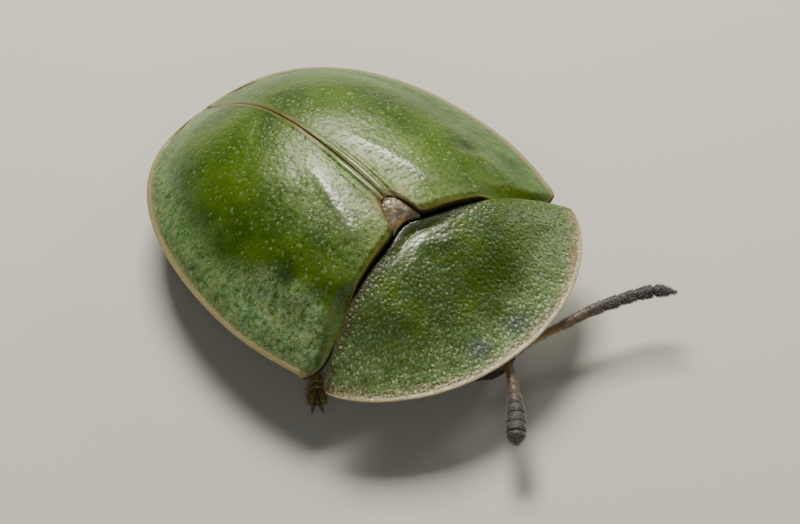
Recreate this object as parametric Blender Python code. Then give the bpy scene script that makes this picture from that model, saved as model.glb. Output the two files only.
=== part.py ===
"""Green tortoise beetle, life size, standing still on the pads of its six feet.

Sizes are in millimetres and are turned into metres when a mesh is made. X runs to the
beetle's left, Y from the front edge of the pronotum to the tip of the wing cases, and Z up
from the floor that the feet stand on.
"""
import math

import bmesh
import bpy
from mathutils import Vector

MM = 0.001
GAP = 0.25

# Shell seen from above
SHELL_LENGTH = 9.0
SHELL_HALF_WIDTH = 3.42
WIDEST_Y = 4.12
REAR_ROUNDING_ALONG = 1.98
REAR_ROUNDING_ACROSS = 2.6
SHOULDER_X = 3.167
SHOULDER_Y = 2.414
PRONOTUM_HALF_WIDTH = 3.103
PRONOTUM_SIDE_LENGTH = 1.839
PRONOTUM_ROUNDING_ACROSS = 2.09
PRONOTUM_ROUNDING_ALONG = 1.438
PRONOTUM_CORNER = 0.985
BASE_MIDDLE_Y = 2.85
BASE_SWEEP = 0.1
BASE_LOBE = 0.17
BASE_LOBE_HALF_WIDTH = 0.4
SHOULDER_NOTCH = 0.41
NOTCH_SHARPNESS = 8
ELYTRON_BASE_FADE = 2
TIP_TURN = 0.985

# Shell heights
EDGE_HEIGHT = 1.3
DOME_Y = 4.5
DOME_RISE = 1.7
DOME_FRONT_FALL = 0.1
DOME_REAR_SQUARENESS = 3.0
DOME_REAR_FLARE = 1.2
DOME_SIDE_SQUARENESS = 2.5
DOME_SIDE_FLARE = 1.15
TIP_DROP = 0.26
TIP_DROP_SHARPNESS = 3
PRONOTUM_CORNER_RISE = 0.06
PRONOTUM_RISE = 1.2
PRONOTUM_SIDE_SQUARENESS = 2.3
PRONOTUM_BRIM_SLOPE = 0.35
RIM_THICKNESS = 0.18
ELYTRON_THICKNESS = 0.5
PRONOTUM_THICKNESS = 0.42
RIM_BLEND = 0.5

# Scutellum
SCUTELLUM_FRONT_Y = 3.12
SCUTELLUM_LENGTH = 0.48
SCUTELLUM_HALF_WIDTH = 0.36
SCUTELLUM_TIP_HALF_WIDTH = 0.04
SCUTELLUM_FRONT_SINK = 0.3
SCUTELLUM_TIP_SINK = 0.1

# Trunk under the shell
VENTER_HEIGHT = 0.9
VENTER_SIDE_RISE = 0.12
COLLAR_FRONT_Y = 1.49
COLLAR_HALF_WIDTH = 0.8
COLLAR_DEPTH = 0.36
COLLAR_LENGTH = 0.45
PROTHORAX_REAR_Y = 2.62
PROTHORAX_HALF_WIDTH = 1.5
PROTHORAX_WIDENING = 1.6
PTEROTHORAX_REAR_Y = 5.0
PTEROTHORAX_FRONT_SHARE = 0.78
TRUNK_HALF_WIDTH = 2.15
ABDOMEN_REAR_Y = 8.05
ABDOMEN_ROUNDING_ALONG = 2.6
ABDOMEN_ROUNDING_ACROSS = 2.0
ABDOMEN_TIP_REACH = 0.97
ABDOMEN_TIP_SAG = 0.1
ABDOMEN_RINGS = 5
RING_STEP = 0.07
RING_EDGE = 0.04

# Head
HEAD_CENTRE = Vector((0.0, 0.82, 0.5))
HEAD_HALF_SIZE = Vector((0.55, 0.42, 0.36))
HEAD_SQUARENESS = 0.75
CHEEK_X = 0.32
LABRUM_BEHIND_FACE = 0.2
LABRUM_ABOVE_CHIN = 0.1
LABRUM_HALF_SIZE = Vector((0.24, 0.16, 0.14))
LABRUM_SQUARENESS = 0.8
# Distance from the midline, behind the face and above the chin, and radius, from root to tip
JAW = ((0.3, 0.34, 0.16, 0.12), (0.28, 0.18, 0.08, 0.1), (0.16, 0.06, 0.05, 0.04))
EYE_HALF_SIZE = Vector((0.24, 0.25, 0.23))
EYE_CENTRE_Y = 0.66
EYE_CENTRE_HEIGHT = 0.6

# Limbs and feelers
COXA_HALF_SIZE = Vector((0.34, 0.28, 0.25))
FEMUR_RADIUS = 0.28
TIBIA_RADIUS = 0.25
PAD_HALF_WIDTH = 0.28
PAD_CENTRE_HEIGHT = 0.2
PAD_RADIUS_UP = 0.26
CLAW_RADIUS = 0.09
SHIN_OVERLAP = 0.12
FEELER_RADIUS = 0.25
FEELER_BASE_SHARE = 0.86
FEELER_CLUB_SHARE = 1.1
FEELER_TIP_SHARE = 0.2
CLUB_FIRST_JOINT = 4
CLUB_SWELLING_JOINTS = 4
FEELER_JOINTS = (0.42, 0.24, 0.32, 0.28, 0.28, 0.24, 0.26, 0.26, 0.26, 0.26, 0.42)

# Place along a joint and share of its radius there
FEELER_JOINT_SHAPE = ((0.0, 0.82), (0.3, 0.97), (0.85, 1.0))
FEELER_LAST_SHAPE = ((0.0, 1.0), (0.3, 0.95), (0.85, 0.5))
FEMUR_SHAPE = ((0.0, 0.8), (0.25, 0.9), (0.5, 1.0), (0.75, 0.93), (1.0, 0.86))
SHIN_SHARES = (0.6, 0.9, 0.95, 1.0, 0.8)
TARSUS_SHAPE = ((-0.12, 0.7), (0.0, 0.85), (0.2, 1.0), (0.3, 0.86), (0.36, 0.86),
                (0.56, 1.08), (0.64, 0.92), (0.7, 0.92), (0.92, 1.16), (1.0, 0.8))
# Distance past the end of the pad, to the side and above its middle, and share of the radius
CLAW_SHAPE = ((-0.12, 0.0, 0.04, 1.0), (0.1, 0.08, 0.02, 0.7), (0.2, 0.13, -0.08, 0.25))

# Coxa, knee, ankle and end of the pad of the left leg of each pair
LEGS = {
    "fore": ((0.66, 2.28, 0.38), (2.02, 2.62, 0.52), (1.52, 2.2, 0.3), (1.45, 1.58)),
    "mid": ((0.78, 3.4, 0.38), (1.98, 3.55, 0.54), (2.46, 3.0, 0.3), (2.87, 2.5)),
    "hind": ((0.78, 4.62, 0.38), (1.92, 5.42, 0.54), (2.12, 6.12, 0.3), (2.33, 6.8)),
}

# Course of each feeler from its socket to its tip
FEELERS = {
    "left": ((0.38, 0.15, 0.58), (0.42, 0.0, 0.58), (0.62, -0.11, 0.59), (1.1, -0.1, 0.63),
             (1.6, -0.06, 0.7), (2.1, -0.09, 0.79), (2.65, -0.26, 0.9), (3.02, -0.5, 0.97),
             (3.26, -0.84, 1.0)),
    "right": ((-0.38, 0.15, 0.58), (-0.38, -0.08, 0.59), (-0.47, -0.38, 0.65),
              (-0.68, -0.72, 0.74), (-0.9, -1.02, 0.8), (-1.16, -1.3, 0.84)),
}

FLOOR_CENTRE_Y = 3.8163


def clamp01(value):
    return min(1.0, max(0.0, value))


def smooth(value):
    u = clamp01(value)
    return u * u * (3 - 2 * u)


def mix(a, b, u):
    return a + (b - a) * u


def remove_startup_objects():
    for obj in list(bpy.data.objects):
        bpy.data.objects.remove(obj, do_unlink=True)


def make_material(name, color, roughness):
    material = bpy.data.materials.new(name)
    material.use_nodes = True
    shader = material.node_tree.nodes["Principled BSDF"]
    shader.inputs["Base Color"].default_value = (*color, 1.0)
    shader.inputs["Roughness"].default_value = roughness
    material.diffuse_color = (*color, 1.0)
    return material


def make_mesh(name, verts, faces):
    """Turns millimetres into metres and makes every face point outwards."""
    mesh = bpy.data.meshes.new(name)
    mesh.from_pydata([tuple(c * MM for c in v) for v in verts], [], faces)
    shell = bmesh.new()
    shell.from_mesh(mesh)
    bmesh.ops.triangulate(shell, faces=[f for f in shell.faces if len(f.verts) > 4])
    bmesh.ops.recalc_face_normals(shell, faces=shell.faces)
    if shell.calc_volume(signed=True) < 0:
        bmesh.ops.reverse_faces(shell, faces=shell.faces)
    shell.to_mesh(mesh)
    shell.free()
    mesh.update()
    return mesh


def place(name, mesh, material, parent):
    """Adds a named piece whose faces are smooth except at true edges."""
    mesh.materials.clear()
    mesh.materials.append(material)
    mesh.shade_smooth()
    mesh.set_sharp_from_angle(angle=math.radians(40))
    obj = bpy.data.objects.new(name, mesh)
    bpy.context.scene.collection.objects.link(obj)
    obj.parent = parent
    return obj


def largest_surface(mesh):
    """Keeps the one closed surface with the most faces."""
    shell = bmesh.new()
    shell.from_mesh(mesh)
    bmesh.ops.triangulate(shell, faces=shell.faces)
    left = set(shell.faces)
    best = []
    while left:
        group = [left.pop()]
        for face in group:
            for edge in face.edges:
                for other in edge.link_faces:
                    if other in left:
                        left.remove(other)
                        group.append(other)
        if len(group) > len(best):
            best = group
    keep = set(best)
    bmesh.ops.delete(shell, geom=[f for f in shell.faces if f not in keep], context="FACES")
    shell.to_mesh(mesh)
    shell.free()
    return mesh


def fuse(name, meshes):
    """Joins closed meshes into one body with a single Boolean union."""
    group = bpy.data.collections.new(name + "_pieces")
    bpy.context.scene.collection.children.link(group)
    first = bpy.data.objects.new(name + "_core", meshes[0])
    bpy.context.scene.collection.objects.link(first)
    for number, mesh in enumerate(meshes[1:]):
        group.objects.link(bpy.data.objects.new(f"{name}_piece_{number}", mesh))
    union = first.modifiers.new("union", "BOOLEAN")
    union.operation = "UNION"
    union.operand_type = "COLLECTION"
    union.collection = group
    union.solver = "EXACT"
    bpy.context.view_layer.update()
    view = bpy.context.evaluated_depsgraph_get()
    joined = bpy.data.meshes.new_from_object(first.evaluated_get(view))
    for obj in list(group.objects) + [first]:
        bpy.data.objects.remove(obj, do_unlink=True)
    bpy.data.collections.remove(group)
    return largest_surface(joined)


def grid_solid(name, top, bottom):
    """A closed plate between two grids of points, split into triangles alike on both."""
    rows, columns = len(top), len(top[0])
    verts = [p for row in top for p in row] + [p for row in bottom for p in row]
    under = rows * columns
    faces = []
    for i in range(rows - 1):
        for j in range(columns - 1):
            a, b = i * columns + j, i * columns + j + 1
            c, d = b + columns, a + columns
            for face in ((a, b, c), (a, c, d)):
                faces.append(face)
                faces.append(tuple(under + k for k in reversed(face)))
    rim = list(range(columns))
    rim += [i * columns + columns - 1 for i in range(1, rows)]
    rim += [(rows - 1) * columns + j for j in range(columns - 2, -1, -1)]
    rim += [i * columns for i in range(rows - 2, 0, -1)]
    for k, a in enumerate(rim):
        b = rim[(k + 1) % len(rim)]
        faces.append((b, a, under + a))
        faces.append((b, under + a, under + b))
    return make_mesh(name, verts, faces)


def tube(name, path, radii, sides=8, floor=None):
    """A closed tube along a path. Each radius is a pair: half width and half height."""
    points = [Vector(p) for p in path]
    verts = []
    for i, centre in enumerate(points):
        along = (points[min(i + 1, len(points) - 1)] - points[max(i - 1, 0)]).normalized()
        across = along.cross(Vector((0, 0, 1))).normalized()
        upward = across.cross(along)
        wide, high = radii[i]
        for k in range(sides):
            turn = 2 * math.pi * (k + 0.5) / sides
            p = centre + across * (wide * math.cos(turn)) + upward * (high * math.sin(turn))
            verts.append((p.x, p.y, p.z if floor is None else max(p.z, floor)))
    faces = [tuple(reversed(range(sides)))]
    for i in range(len(points) - 1):
        for k in range(sides):
            a, b = i * sides + k, i * sides + (k + 1) % sides
            faces.append((a, b, b + sides, a + sides))
    faces.append(tuple((len(points) - 1) * sides + k for k in range(sides)))
    return make_mesh(name, verts, faces)


def ball(name, centre, half_size, squareness=1.0, rings=8, segments=12, limit_x=None):
    """A closed rounded body, boxier the smaller its squareness, with an optional flat side."""
    def power(value):
        return math.copysign(abs(value) ** squareness, value)

    def point(rise, turn):
        x = half_size.x * power(math.cos(rise)) * power(math.cos(turn))
        y = half_size.y * power(math.cos(rise)) * power(math.sin(turn))
        if limit_x is not None:
            x = min(max(x, limit_x[0]), limit_x[1])
        return (centre.x + x, centre.y + y, centre.z + half_size.z * power(math.sin(rise)))

    verts = [point(-math.pi / 2, 0.0)]
    for i in range(1, rings):
        rise = -math.pi / 2 + math.pi * i / rings
        verts += [point(rise, 2 * math.pi * (k + 0.5) / segments) for k in range(segments)]
    verts.append(point(math.pi / 2, 0.0))
    faces = []
    for k in range(segments):
        n = (k + 1) % segments
        faces.append((0, 1 + n, 1 + k))
        for i in range(rings - 2):
            a, b = 1 + i * segments + k, 1 + i * segments + n
            faces.append((a, b, b + segments, a + segments))
        last = 1 + (rings - 2) * segments
        faces.append((last + k, last + n, len(verts) - 1))
    return make_mesh(name, verts, faces)


# Outline and height of the shell

def shell_half_width(y):
    if y < WIDEST_Y:
        u = clamp01((y - SHOULDER_Y) / (WIDEST_Y - SHOULDER_Y))
        return mix(SHOULDER_X, SHELL_HALF_WIDTH, math.sin(u * math.pi / 2))
    u = clamp01((y - WIDEST_Y) / (SHELL_LENGTH - WIDEST_Y))
    return SHELL_HALF_WIDTH * (1 - u ** REAR_ROUNDING_ALONG) ** (1 / REAR_ROUNDING_ACROSS)


def pronotum_front(x):
    u = clamp01(abs(x) / PRONOTUM_HALF_WIDTH)
    inner = (1 - u ** PRONOTUM_ROUNDING_ACROSS) ** (1 / PRONOTUM_ROUNDING_ALONG)
    return PRONOTUM_SIDE_LENGTH * (1 - inner)


def base_line(x):
    """The joint between the pronotum and the wing cases, with its lobe at the scutellum."""
    lobe = BASE_LOBE * math.exp(-(x / BASE_LOBE_HALF_WIDTH) ** 2)
    return BASE_MIDDLE_Y - BASE_SWEEP * x * x + lobe


def pronotum_base(x):
    return base_line(x) - GAP / 2


def elytron_base(x):
    notch = SHOULDER_NOTCH * (x / SHOULDER_X) ** NOTCH_SHARPNESS
    beside_joint = base_line(x) + GAP / 2 + notch
    slope = SCUTELLUM_LENGTH / SCUTELLUM_HALF_WIDTH
    clearance = GAP * math.hypot(1, 1 / slope)
    beside_scutellum = SCUTELLUM_FRONT_Y + (SCUTELLUM_HALF_WIDTH + clearance - x) * slope
    return max(beside_joint, beside_scutellum)


def elytron_top(x, y):
    back = clamp01((y - DOME_Y) / (SHELL_LENGTH - DOME_Y))
    if y < DOME_Y:
        crest = DOME_RISE - DOME_FRONT_FALL * (DOME_Y - y) ** 2
    else:
        fall = (1 - back ** DOME_REAR_SQUARENESS) ** DOME_REAR_FLARE
        crest = (DOME_RISE + TIP_DROP) * fall - TIP_DROP
    behind = clamp01((y - WIDEST_Y) / (SHELL_LENGTH - WIDEST_Y))
    edge = -TIP_DROP * behind ** TIP_DROP_SHARPNESS
    out = clamp01(abs(x) / max(shell_half_width(y), 0.001))
    side = (1 - out ** DOME_SIDE_SQUARENESS) ** DOME_SIDE_FLARE
    return EDGE_HEIGHT + edge + (crest - edge) * side


def pronotum_top(x, y):
    out = clamp01(abs(x) / PRONOTUM_HALF_WIDTH)
    side = 1 - out ** PRONOTUM_SIDE_SQUARENESS
    base_rise = mix(PRONOTUM_CORNER_RISE, PRONOTUM_RISE, side)
    front = pronotum_front(x)
    u = clamp01((y - front) / (pronotum_base(x) - front))
    climb = mix(smooth(u), u, PRONOTUM_BRIM_SLOPE)
    return EDGE_HEIGHT + base_rise * climb


def rim_blend(x, y, for_pronotum):
    """Runs from 0 at the free edge of the shell to 1 well inside it."""
    if for_pronotum:
        ahead = clamp01(1 - y / PRONOTUM_SIDE_LENGTH) ** PRONOTUM_ROUNDING_ALONG
        out = clamp01(abs(x) / PRONOTUM_HALF_WIDTH) ** PRONOTUM_ROUNDING_ACROSS + ahead
    else:
        behind = clamp01((y - WIDEST_Y) / (SHELL_LENGTH - WIDEST_Y)) ** REAR_ROUNDING_ALONG
        wide = SHELL_HALF_WIDTH if y > WIDEST_Y else shell_half_width(y)
        out = clamp01(abs(x) / wide) ** REAR_ROUNDING_ACROSS + behind
    return smooth((1 - out) / RIM_BLEND)


def elytron_under(x, y):
    return elytron_top(x, y) - mix(RIM_THICKNESS, ELYTRON_THICKNESS, rim_blend(x, y, False))


def pronotum_under(x, y):
    return pronotum_top(x, y) - mix(RIM_THICKNESS, PRONOTUM_THICKNESS, rim_blend(x, y, True))


def build_elytron(side, material, parent):
    rows, columns, front_rows = 24, 12, 7
    inner_x = GAP / 2
    sweep = TIP_TURN * math.pi / 2
    plan = []
    for i in range(rows + 1):
        if i < front_rows:
            y_edge = mix(SHOULDER_Y, WIDEST_Y, i / front_rows)
            x_edge = shell_half_width(y_edge)
        else:
            turn = sweep * (i - front_rows) / (rows - front_rows)
            y_edge = mix(WIDEST_Y, SHELL_LENGTH, math.sin(turn) ** (2 / REAR_ROUNDING_ALONG))
            x_edge = SHELL_HALF_WIDTH * math.cos(turn) ** (2 / REAR_ROUNDING_ACROSS)
        fade = (1 - i / rows) ** ELYTRON_BASE_FADE
        row = []
        for j in range(columns + 1):
            s = j / columns
            ahead = 0.0
            if j < columns:
                ahead = elytron_base(mix(inner_x, SHOULDER_X, s)) - SHOULDER_Y
            row.append((mix(inner_x, x_edge, s), y_edge + ahead * fade))
        plan.append(row)
    top = [[(side * x, y, elytron_top(x, y)) for x, y in row] for row in plan]
    bottom = [[(side * x, y, elytron_under(x, y)) for x, y in row] for row in plan]
    name = "elytron_left" if side > 0 else "elytron_right"
    return place(name, grid_solid(name, top, bottom), material, parent)


def build_pronotum(material, parent):
    rows, columns = 10, 26
    widest_turn = math.asin(PRONOTUM_CORNER ** (PRONOTUM_ROUNDING_ACROSS / 2))
    top, bottom = [], []
    for i in range(rows + 1):
        v = i / rows
        upper, lower = [], []
        for j in range(columns + 1):
            turn = widest_turn * (2 * j / columns - 1)
            reach = abs(math.sin(turn)) ** (2 / PRONOTUM_ROUNDING_ACROSS)
            x = math.copysign(PRONOTUM_HALF_WIDTH * reach, turn)
            y = mix(pronotum_front(x), pronotum_base(x), v)
            upper.append((x, y, pronotum_top(x, y)))
            lower.append((x, y, pronotum_under(x, y)))
        top.append(upper)
        bottom.append(lower)
    return place("pronotum", grid_solid("pronotum", top, bottom), material, parent)


def build_scutellum(material, parent):
    rows, columns = 4, 6
    top, bottom = [], []
    for i in range(rows + 1):
        v = i / rows
        y = SCUTELLUM_FRONT_Y + SCUTELLUM_LENGTH * v
        half = mix(SCUTELLUM_HALF_WIDTH, SCUTELLUM_TIP_HALF_WIDTH, v)
        xs = [half * (2 * j / columns - 1) for j in range(columns + 1)]
        sink = mix(SCUTELLUM_FRONT_SINK, SCUTELLUM_TIP_SINK, v)
        top.append([(x, y, elytron_top(x, y) - sink) for x in xs])
        bottom.append([(x, y, elytron_under(x, y)) for x in xs])
    return place("scutellum", grid_solid("scutellum", top, bottom), material, parent)


# Trunk

def trunk_top(x, y):
    behind_joint = max(0.0, y - pronotum_base(x))
    return min(elytron_under(x, y), pronotum_under(x, y) + behind_joint) - GAP


def trunk_plate(name, stations, halves, drops, material, parent):
    """A part of the trunk between its stations, fitted under the shell."""
    columns = 10
    top, bottom = [], []
    for y, half, drop in zip(stations, halves, drops):
        xs = [half * math.sin(math.pi * (j / columns - 0.5)) for j in range(columns + 1)]
        top.append([(x, y, trunk_top(x, y)) for x in xs])
        bottom.append([(x, y, VENTER_HEIGHT - drop + VENTER_SIDE_RISE * (x / half) ** 2)
                       for x in xs])
    return place(name, grid_solid(name, top, bottom), material, parent)


def build_trunk(material, parent):
    steps = 6
    stations = [mix(COLLAR_FRONT_Y, PROTHORAX_REAR_Y, i / steps) for i in range(steps + 1)]
    halves = [mix(COLLAR_HALF_WIDTH, PROTHORAX_HALF_WIDTH, smooth(PROTHORAX_WIDENING * i / steps))
              for i in range(steps + 1)]
    drops = [COLLAR_DEPTH * (1 - smooth((y - COLLAR_FRONT_Y) / COLLAR_LENGTH)) for y in stations]
    trunk_plate("prothorax", stations, halves, drops, material, parent)

    steps = 8
    front = PROTHORAX_REAR_Y + GAP
    stations = [mix(front, PTEROTHORAX_REAR_Y, i / steps) for i in range(steps + 1)]
    halves = [TRUNK_HALF_WIDTH * mix(PTEROTHORAX_FRONT_SHARE, 1.0, smooth(2 * i / steps))
              for i in range(steps + 1)]
    trunk_plate("pterothorax", stations, halves, [0.0] * (steps + 1), material, parent)

    front = PTEROTHORAX_REAR_Y + GAP
    stations, halves, drops = [], [], []
    for ring in range(ABDOMEN_RINGS):
        for start, drop in ((0.0, 0.0), (1.0 - RING_EDGE, RING_STEP)):
            u = (ring + start) / ABDOMEN_RINGS
            left = 1 - (ABDOMEN_TIP_REACH * u) ** ABDOMEN_ROUNDING_ALONG
            stations.append(mix(front, ABDOMEN_REAR_Y, u))
            halves.append(TRUNK_HALF_WIDTH * left ** (1 / ABDOMEN_ROUNDING_ACROSS))
            drops.append(drop - ABDOMEN_TIP_SAG * u * u)
    trunk_plate("abdomen", stations, halves, drops, material, parent)


# Head, eyes and feelers

def build_head(material, parent):
    skull = ball("skull", HEAD_CENTRE, HEAD_HALF_SIZE, HEAD_SQUARENESS, 10, 16,
                 (-CHEEK_X, CHEEK_X))
    face_y = HEAD_CENTRE.y - HEAD_HALF_SIZE.y
    chin_z = HEAD_CENTRE.z - HEAD_HALF_SIZE.z
    labrum_centre = Vector((0.0, face_y + LABRUM_BEHIND_FACE, chin_z + LABRUM_ABOVE_CHIN))
    pieces = [skull, ball("labrum", labrum_centre, LABRUM_HALF_SIZE, LABRUM_SQUARENESS, 6, 10)]
    for side in (-1, 1):
        path = [(side * out, face_y + behind, chin_z + above) for out, behind, above, _ in JAW]
        pieces.append(tube("jaw", path, [(radius, radius) for *_, radius in JAW]))
    return place("head", fuse("head", pieces), material, parent)


def build_eye(side, material, parent):
    """Half an ellipsoid with its flat face towards the cheek."""
    inner_x = side * (CHEEK_X + GAP)
    rings, segments = 5, 14
    verts = [(inner_x + side * EYE_HALF_SIZE.x, EYE_CENTRE_Y, EYE_CENTRE_HEIGHT)]
    for i in range(1, rings + 1):
        rise = math.pi / 2 * (1 - i / rings)
        for k in range(segments):
            turn = 2 * math.pi * k / segments
            verts.append((inner_x + side * EYE_HALF_SIZE.x * math.sin(rise),
                          EYE_CENTRE_Y + EYE_HALF_SIZE.y * math.cos(rise) * math.cos(turn),
                          EYE_CENTRE_HEIGHT
                          + EYE_HALF_SIZE.z * math.cos(rise) * math.sin(turn)))
    faces = []
    for k in range(segments):
        n = (k + 1) % segments
        faces.append((0, 1 + k, 1 + n))
        for i in range(rings - 1):
            a, b = 1 + i * segments + k, 1 + i * segments + n
            faces.append((a, a + segments, b + segments, b))
    faces.append(tuple(1 + (rings - 1) * segments + k for k in range(segments)))
    name = "eye_left" if side > 0 else "eye_right"
    return place(name, make_mesh(name, verts, faces), material, parent)


def point_along(path, distance):
    """A point on a path of straight runs."""
    points = [Vector(p) for p in path]
    for start, end in zip(points, points[1:]):
        run = (end - start).length
        if distance <= run or end is points[-1]:
            return start.lerp(end, distance / run)
        distance -= run
    return points[-1]


def build_antenna(side_name, material, parent):
    """Eleven joints, swelling towards the tip, as one closed tube."""
    path = FEELERS[side_name]
    length = sum((Vector(b) - Vector(a)).length for a, b in zip(path, path[1:]))
    scale = length / sum(FEELER_JOINTS)
    centres, radii = [], []
    walked = 0.0
    last = len(FEELER_JOINTS) - 1
    for number, joint in enumerate(FEELER_JOINTS):
        towards_club = smooth((number - CLUB_FIRST_JOINT) / CLUB_SWELLING_JOINTS)
        swell = mix(FEELER_BASE_SHARE, FEELER_CLUB_SHARE, towards_club)
        shape = FEELER_LAST_SHAPE if number == last else FEELER_JOINT_SHAPE
        for u, share in shape:
            centres.append(point_along(path, (walked + joint * u) * scale))
            radii.append(FEELER_RADIUS * share * (swell if number else 1.0))
        walked += joint
    centres.append(point_along(path, length))
    radii.append(FEELER_RADIUS * FEELER_TIP_SHARE)
    name = "antenna_" + side_name
    mesh = tube(name, centres, [(radius, radius) for radius in radii])
    return place(name, mesh, material, parent)


# Legs

def mirrored(point, side):
    return (side * point[0],) + tuple(point[1:])


def build_leg(pair, side, material, parent):
    coxa, knee, ankle = (Vector(mirrored(p, side)) for p in LEGS[pair][:3])
    toe = Vector((*mirrored(LEGS[pair][3], side), PAD_CENTRE_HEIGHT))
    name = f"leg_{pair}_" + ("left" if side > 0 else "right")

    pieces = [ball("coxa", coxa, COXA_HALF_SIZE, 1.0, 6, 10)]
    pieces.append(tube("femur", [coxa.lerp(knee, u) for u, _ in FEMUR_SHAPE],
                       [(FEMUR_RADIUS * k, FEMUR_RADIUS * k) for _, k in FEMUR_SHAPE], 10))
    overlap = (knee - ankle).normalized() * SHIN_OVERLAP
    shin = [knee + overlap, knee, knee.lerp(ankle, 0.5), ankle, ankle - overlap]
    pieces.append(tube("tibia", shin, [(TIBIA_RADIUS * k, TIBIA_RADIUS * k)
                                       for k in SHIN_SHARES], 8))

    heel = Vector((ankle.x, ankle.y, PAD_CENTRE_HEIGHT))
    pieces.append(tube("tarsus", [heel.lerp(toe, u) for u, _ in TARSUS_SHAPE],
                       [(PAD_HALF_WIDTH * k, PAD_RADIUS_UP) for _, k in TARSUS_SHAPE], 8, 0.0))

    ahead = (toe - heel).normalized()
    across = ahead.cross(Vector((0, 0, 1)))
    for lean in (-1, 1):
        hook = [toe + ahead * past + across * (lean * aside) + Vector((0, 0, above))
                for past, aside, above, _ in CLAW_SHAPE]
        pieces.append(tube("claw", hook, [(CLAW_RADIUS * k, CLAW_RADIUS * k)
                                          for *_, k in CLAW_SHAPE], 6))
    return place(name, fuse(name, pieces), material, parent)


def build_beetle():
    remove_startup_objects()
    frame = bpy.data.objects.new("beetle_on_floor", None)
    frame.location = (0.0, -FLOOR_CENTRE_Y * MM, 0.0)
    bpy.context.scene.collection.objects.link(frame)

    wing_case = make_material("wing_case_green", (0.09, 0.2, 0.03), 0.4)
    shield = make_material("pronotum_green", (0.1, 0.21, 0.05), 0.42)
    horn = make_material("scutellum_brown", (0.2, 0.15, 0.09), 0.45)
    black = make_material("underside_black", (0.015, 0.014, 0.012), 0.35)
    lens = make_material("eye_black", (0.01, 0.01, 0.01), 0.12)
    feeler = make_material("feeler_brown", (0.22, 0.11, 0.04), 0.5)
    limb = make_material("leg_yellow_green", (0.36, 0.33, 0.07), 0.45)

    for side in (1, -1):
        build_elytron(side, wing_case, frame)
    build_pronotum(shield, frame)
    build_scutellum(horn, frame)
    build_trunk(black, frame)
    build_head(black, frame)
    for side in (1, -1):
        build_eye(side, lens, frame)
    for side_name in FEELERS:
        build_antenna(side_name, feeler, frame)
    for pair in LEGS:
        for side in (1, -1):
            build_leg(pair, side, limb, frame)


build_beetle()
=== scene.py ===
"""Green tortoise beetle, life size, standing still on a pale studio floor.

Sizes are millimetres in the beetle's own frame: X to its left, Y from the front edge of the
pronotum to the tip of the wing cases, Z up from the floor. They turn into metres when a piece
is made.
"""
import math

import bpy
import numpy as np
from mathutils import Matrix, Vector
from mathutils.kdtree import KDTree


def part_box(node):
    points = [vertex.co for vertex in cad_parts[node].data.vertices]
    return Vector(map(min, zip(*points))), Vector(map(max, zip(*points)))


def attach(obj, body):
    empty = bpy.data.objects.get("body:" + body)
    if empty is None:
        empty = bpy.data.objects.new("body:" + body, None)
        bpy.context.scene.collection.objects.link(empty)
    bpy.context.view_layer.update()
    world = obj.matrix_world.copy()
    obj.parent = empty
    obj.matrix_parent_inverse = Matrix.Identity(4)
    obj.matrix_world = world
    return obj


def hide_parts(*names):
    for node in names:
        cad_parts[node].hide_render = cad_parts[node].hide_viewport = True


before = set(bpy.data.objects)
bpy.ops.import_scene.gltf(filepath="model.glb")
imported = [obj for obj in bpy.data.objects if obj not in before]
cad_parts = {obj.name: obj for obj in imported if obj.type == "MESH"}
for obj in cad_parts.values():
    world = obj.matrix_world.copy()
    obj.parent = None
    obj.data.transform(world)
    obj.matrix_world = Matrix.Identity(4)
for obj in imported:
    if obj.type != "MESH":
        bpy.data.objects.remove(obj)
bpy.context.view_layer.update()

MM = 0.001
FRONT_EDGE_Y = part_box("pronotum")[0].y
UP = (0.0, 0.0, 1.0)
SIDES = {"left": 1, "right": -1}

# Shell seen from above, as in the solids
SHELL_LENGTH = 9.0
SHELL_HALF_WIDTH = 3.42
WIDEST_Y = 4.12
REAR_ROUNDING_ALONG = 1.98
REAR_ROUNDING_ACROSS = 2.6
SHOULDER_X = 3.167
SHOULDER_Y = 2.414
PRONOTUM_HALF_WIDTH = 3.103
PRONOTUM_SIDE_LENGTH = 1.839
PRONOTUM_ROUNDING_ACROSS = 2.09
PRONOTUM_ROUNDING_ALONG = 1.438
BASE_MIDDLE_Y = 2.85
BASE_SWEEP = 0.1
BASE_LOBE = 0.17
BASE_LOBE_HALF_WIDTH = 0.4

# Shell heights, as in the solids
EDGE_HEIGHT = 1.3
DOME_Y = 4.5
DOME_RISE = 1.7
DOME_FRONT_FALL = 0.1
DOME_REAR_SQUARENESS = 3.0
DOME_REAR_FLARE = 1.2
DOME_SIDE_SQUARENESS = 2.5
DOME_SIDE_FLARE = 1.15
TIP_DROP = 0.26
PRONOTUM_CORNER_RISE = 0.06
PRONOTUM_RISE = 1.2
PRONOTUM_SIDE_SQUARENESS = 2.3
PRONOTUM_BRIM_SLOPE = 0.35

# Fine build of the shell
PLATE_THICKNESS = 0.1
MARGIN_THICKNESS = 0.032
MARGIN_DEPTH = 0.35
LIP_RADIUS = 0.018
SUTURE_X = 0.015
SUTURE_LIP = 0.011
JOINT_GAP = 0.022
SHOULDER_NOTCH = 0.55
STRIDE = 4
LIP_TURNS = (30, 60, 90, 120, 150)
SCUTELLUM_TIP_Y = 3.5
SCUTELLUM_HALF_WIDTH = 0.33
SCUTELLUM_ROUNDING = 2.4

# Camera, from the lines of the shell in the photograph
PHOTO_WIDTH = 800
PHOTO_HEIGHT = 524
PHOTO_PIXELS_PER_MM = 52.5724
DOME_PIXEL = (357.04, 223.62)
CAMERA_TARGET = Vector((0.0, DOME_Y, EDGE_HEIGHT))
CAMERA_AZIMUTH = -0.637
CAMERA_ELEVATION = 0.8708
CAMERA_ROLL = 0.1135
CAMERA_DISTANCE = 98.04
CAMERA_CLIP = (1, 5000)
SENSOR_WIDTH = 36.0


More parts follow.
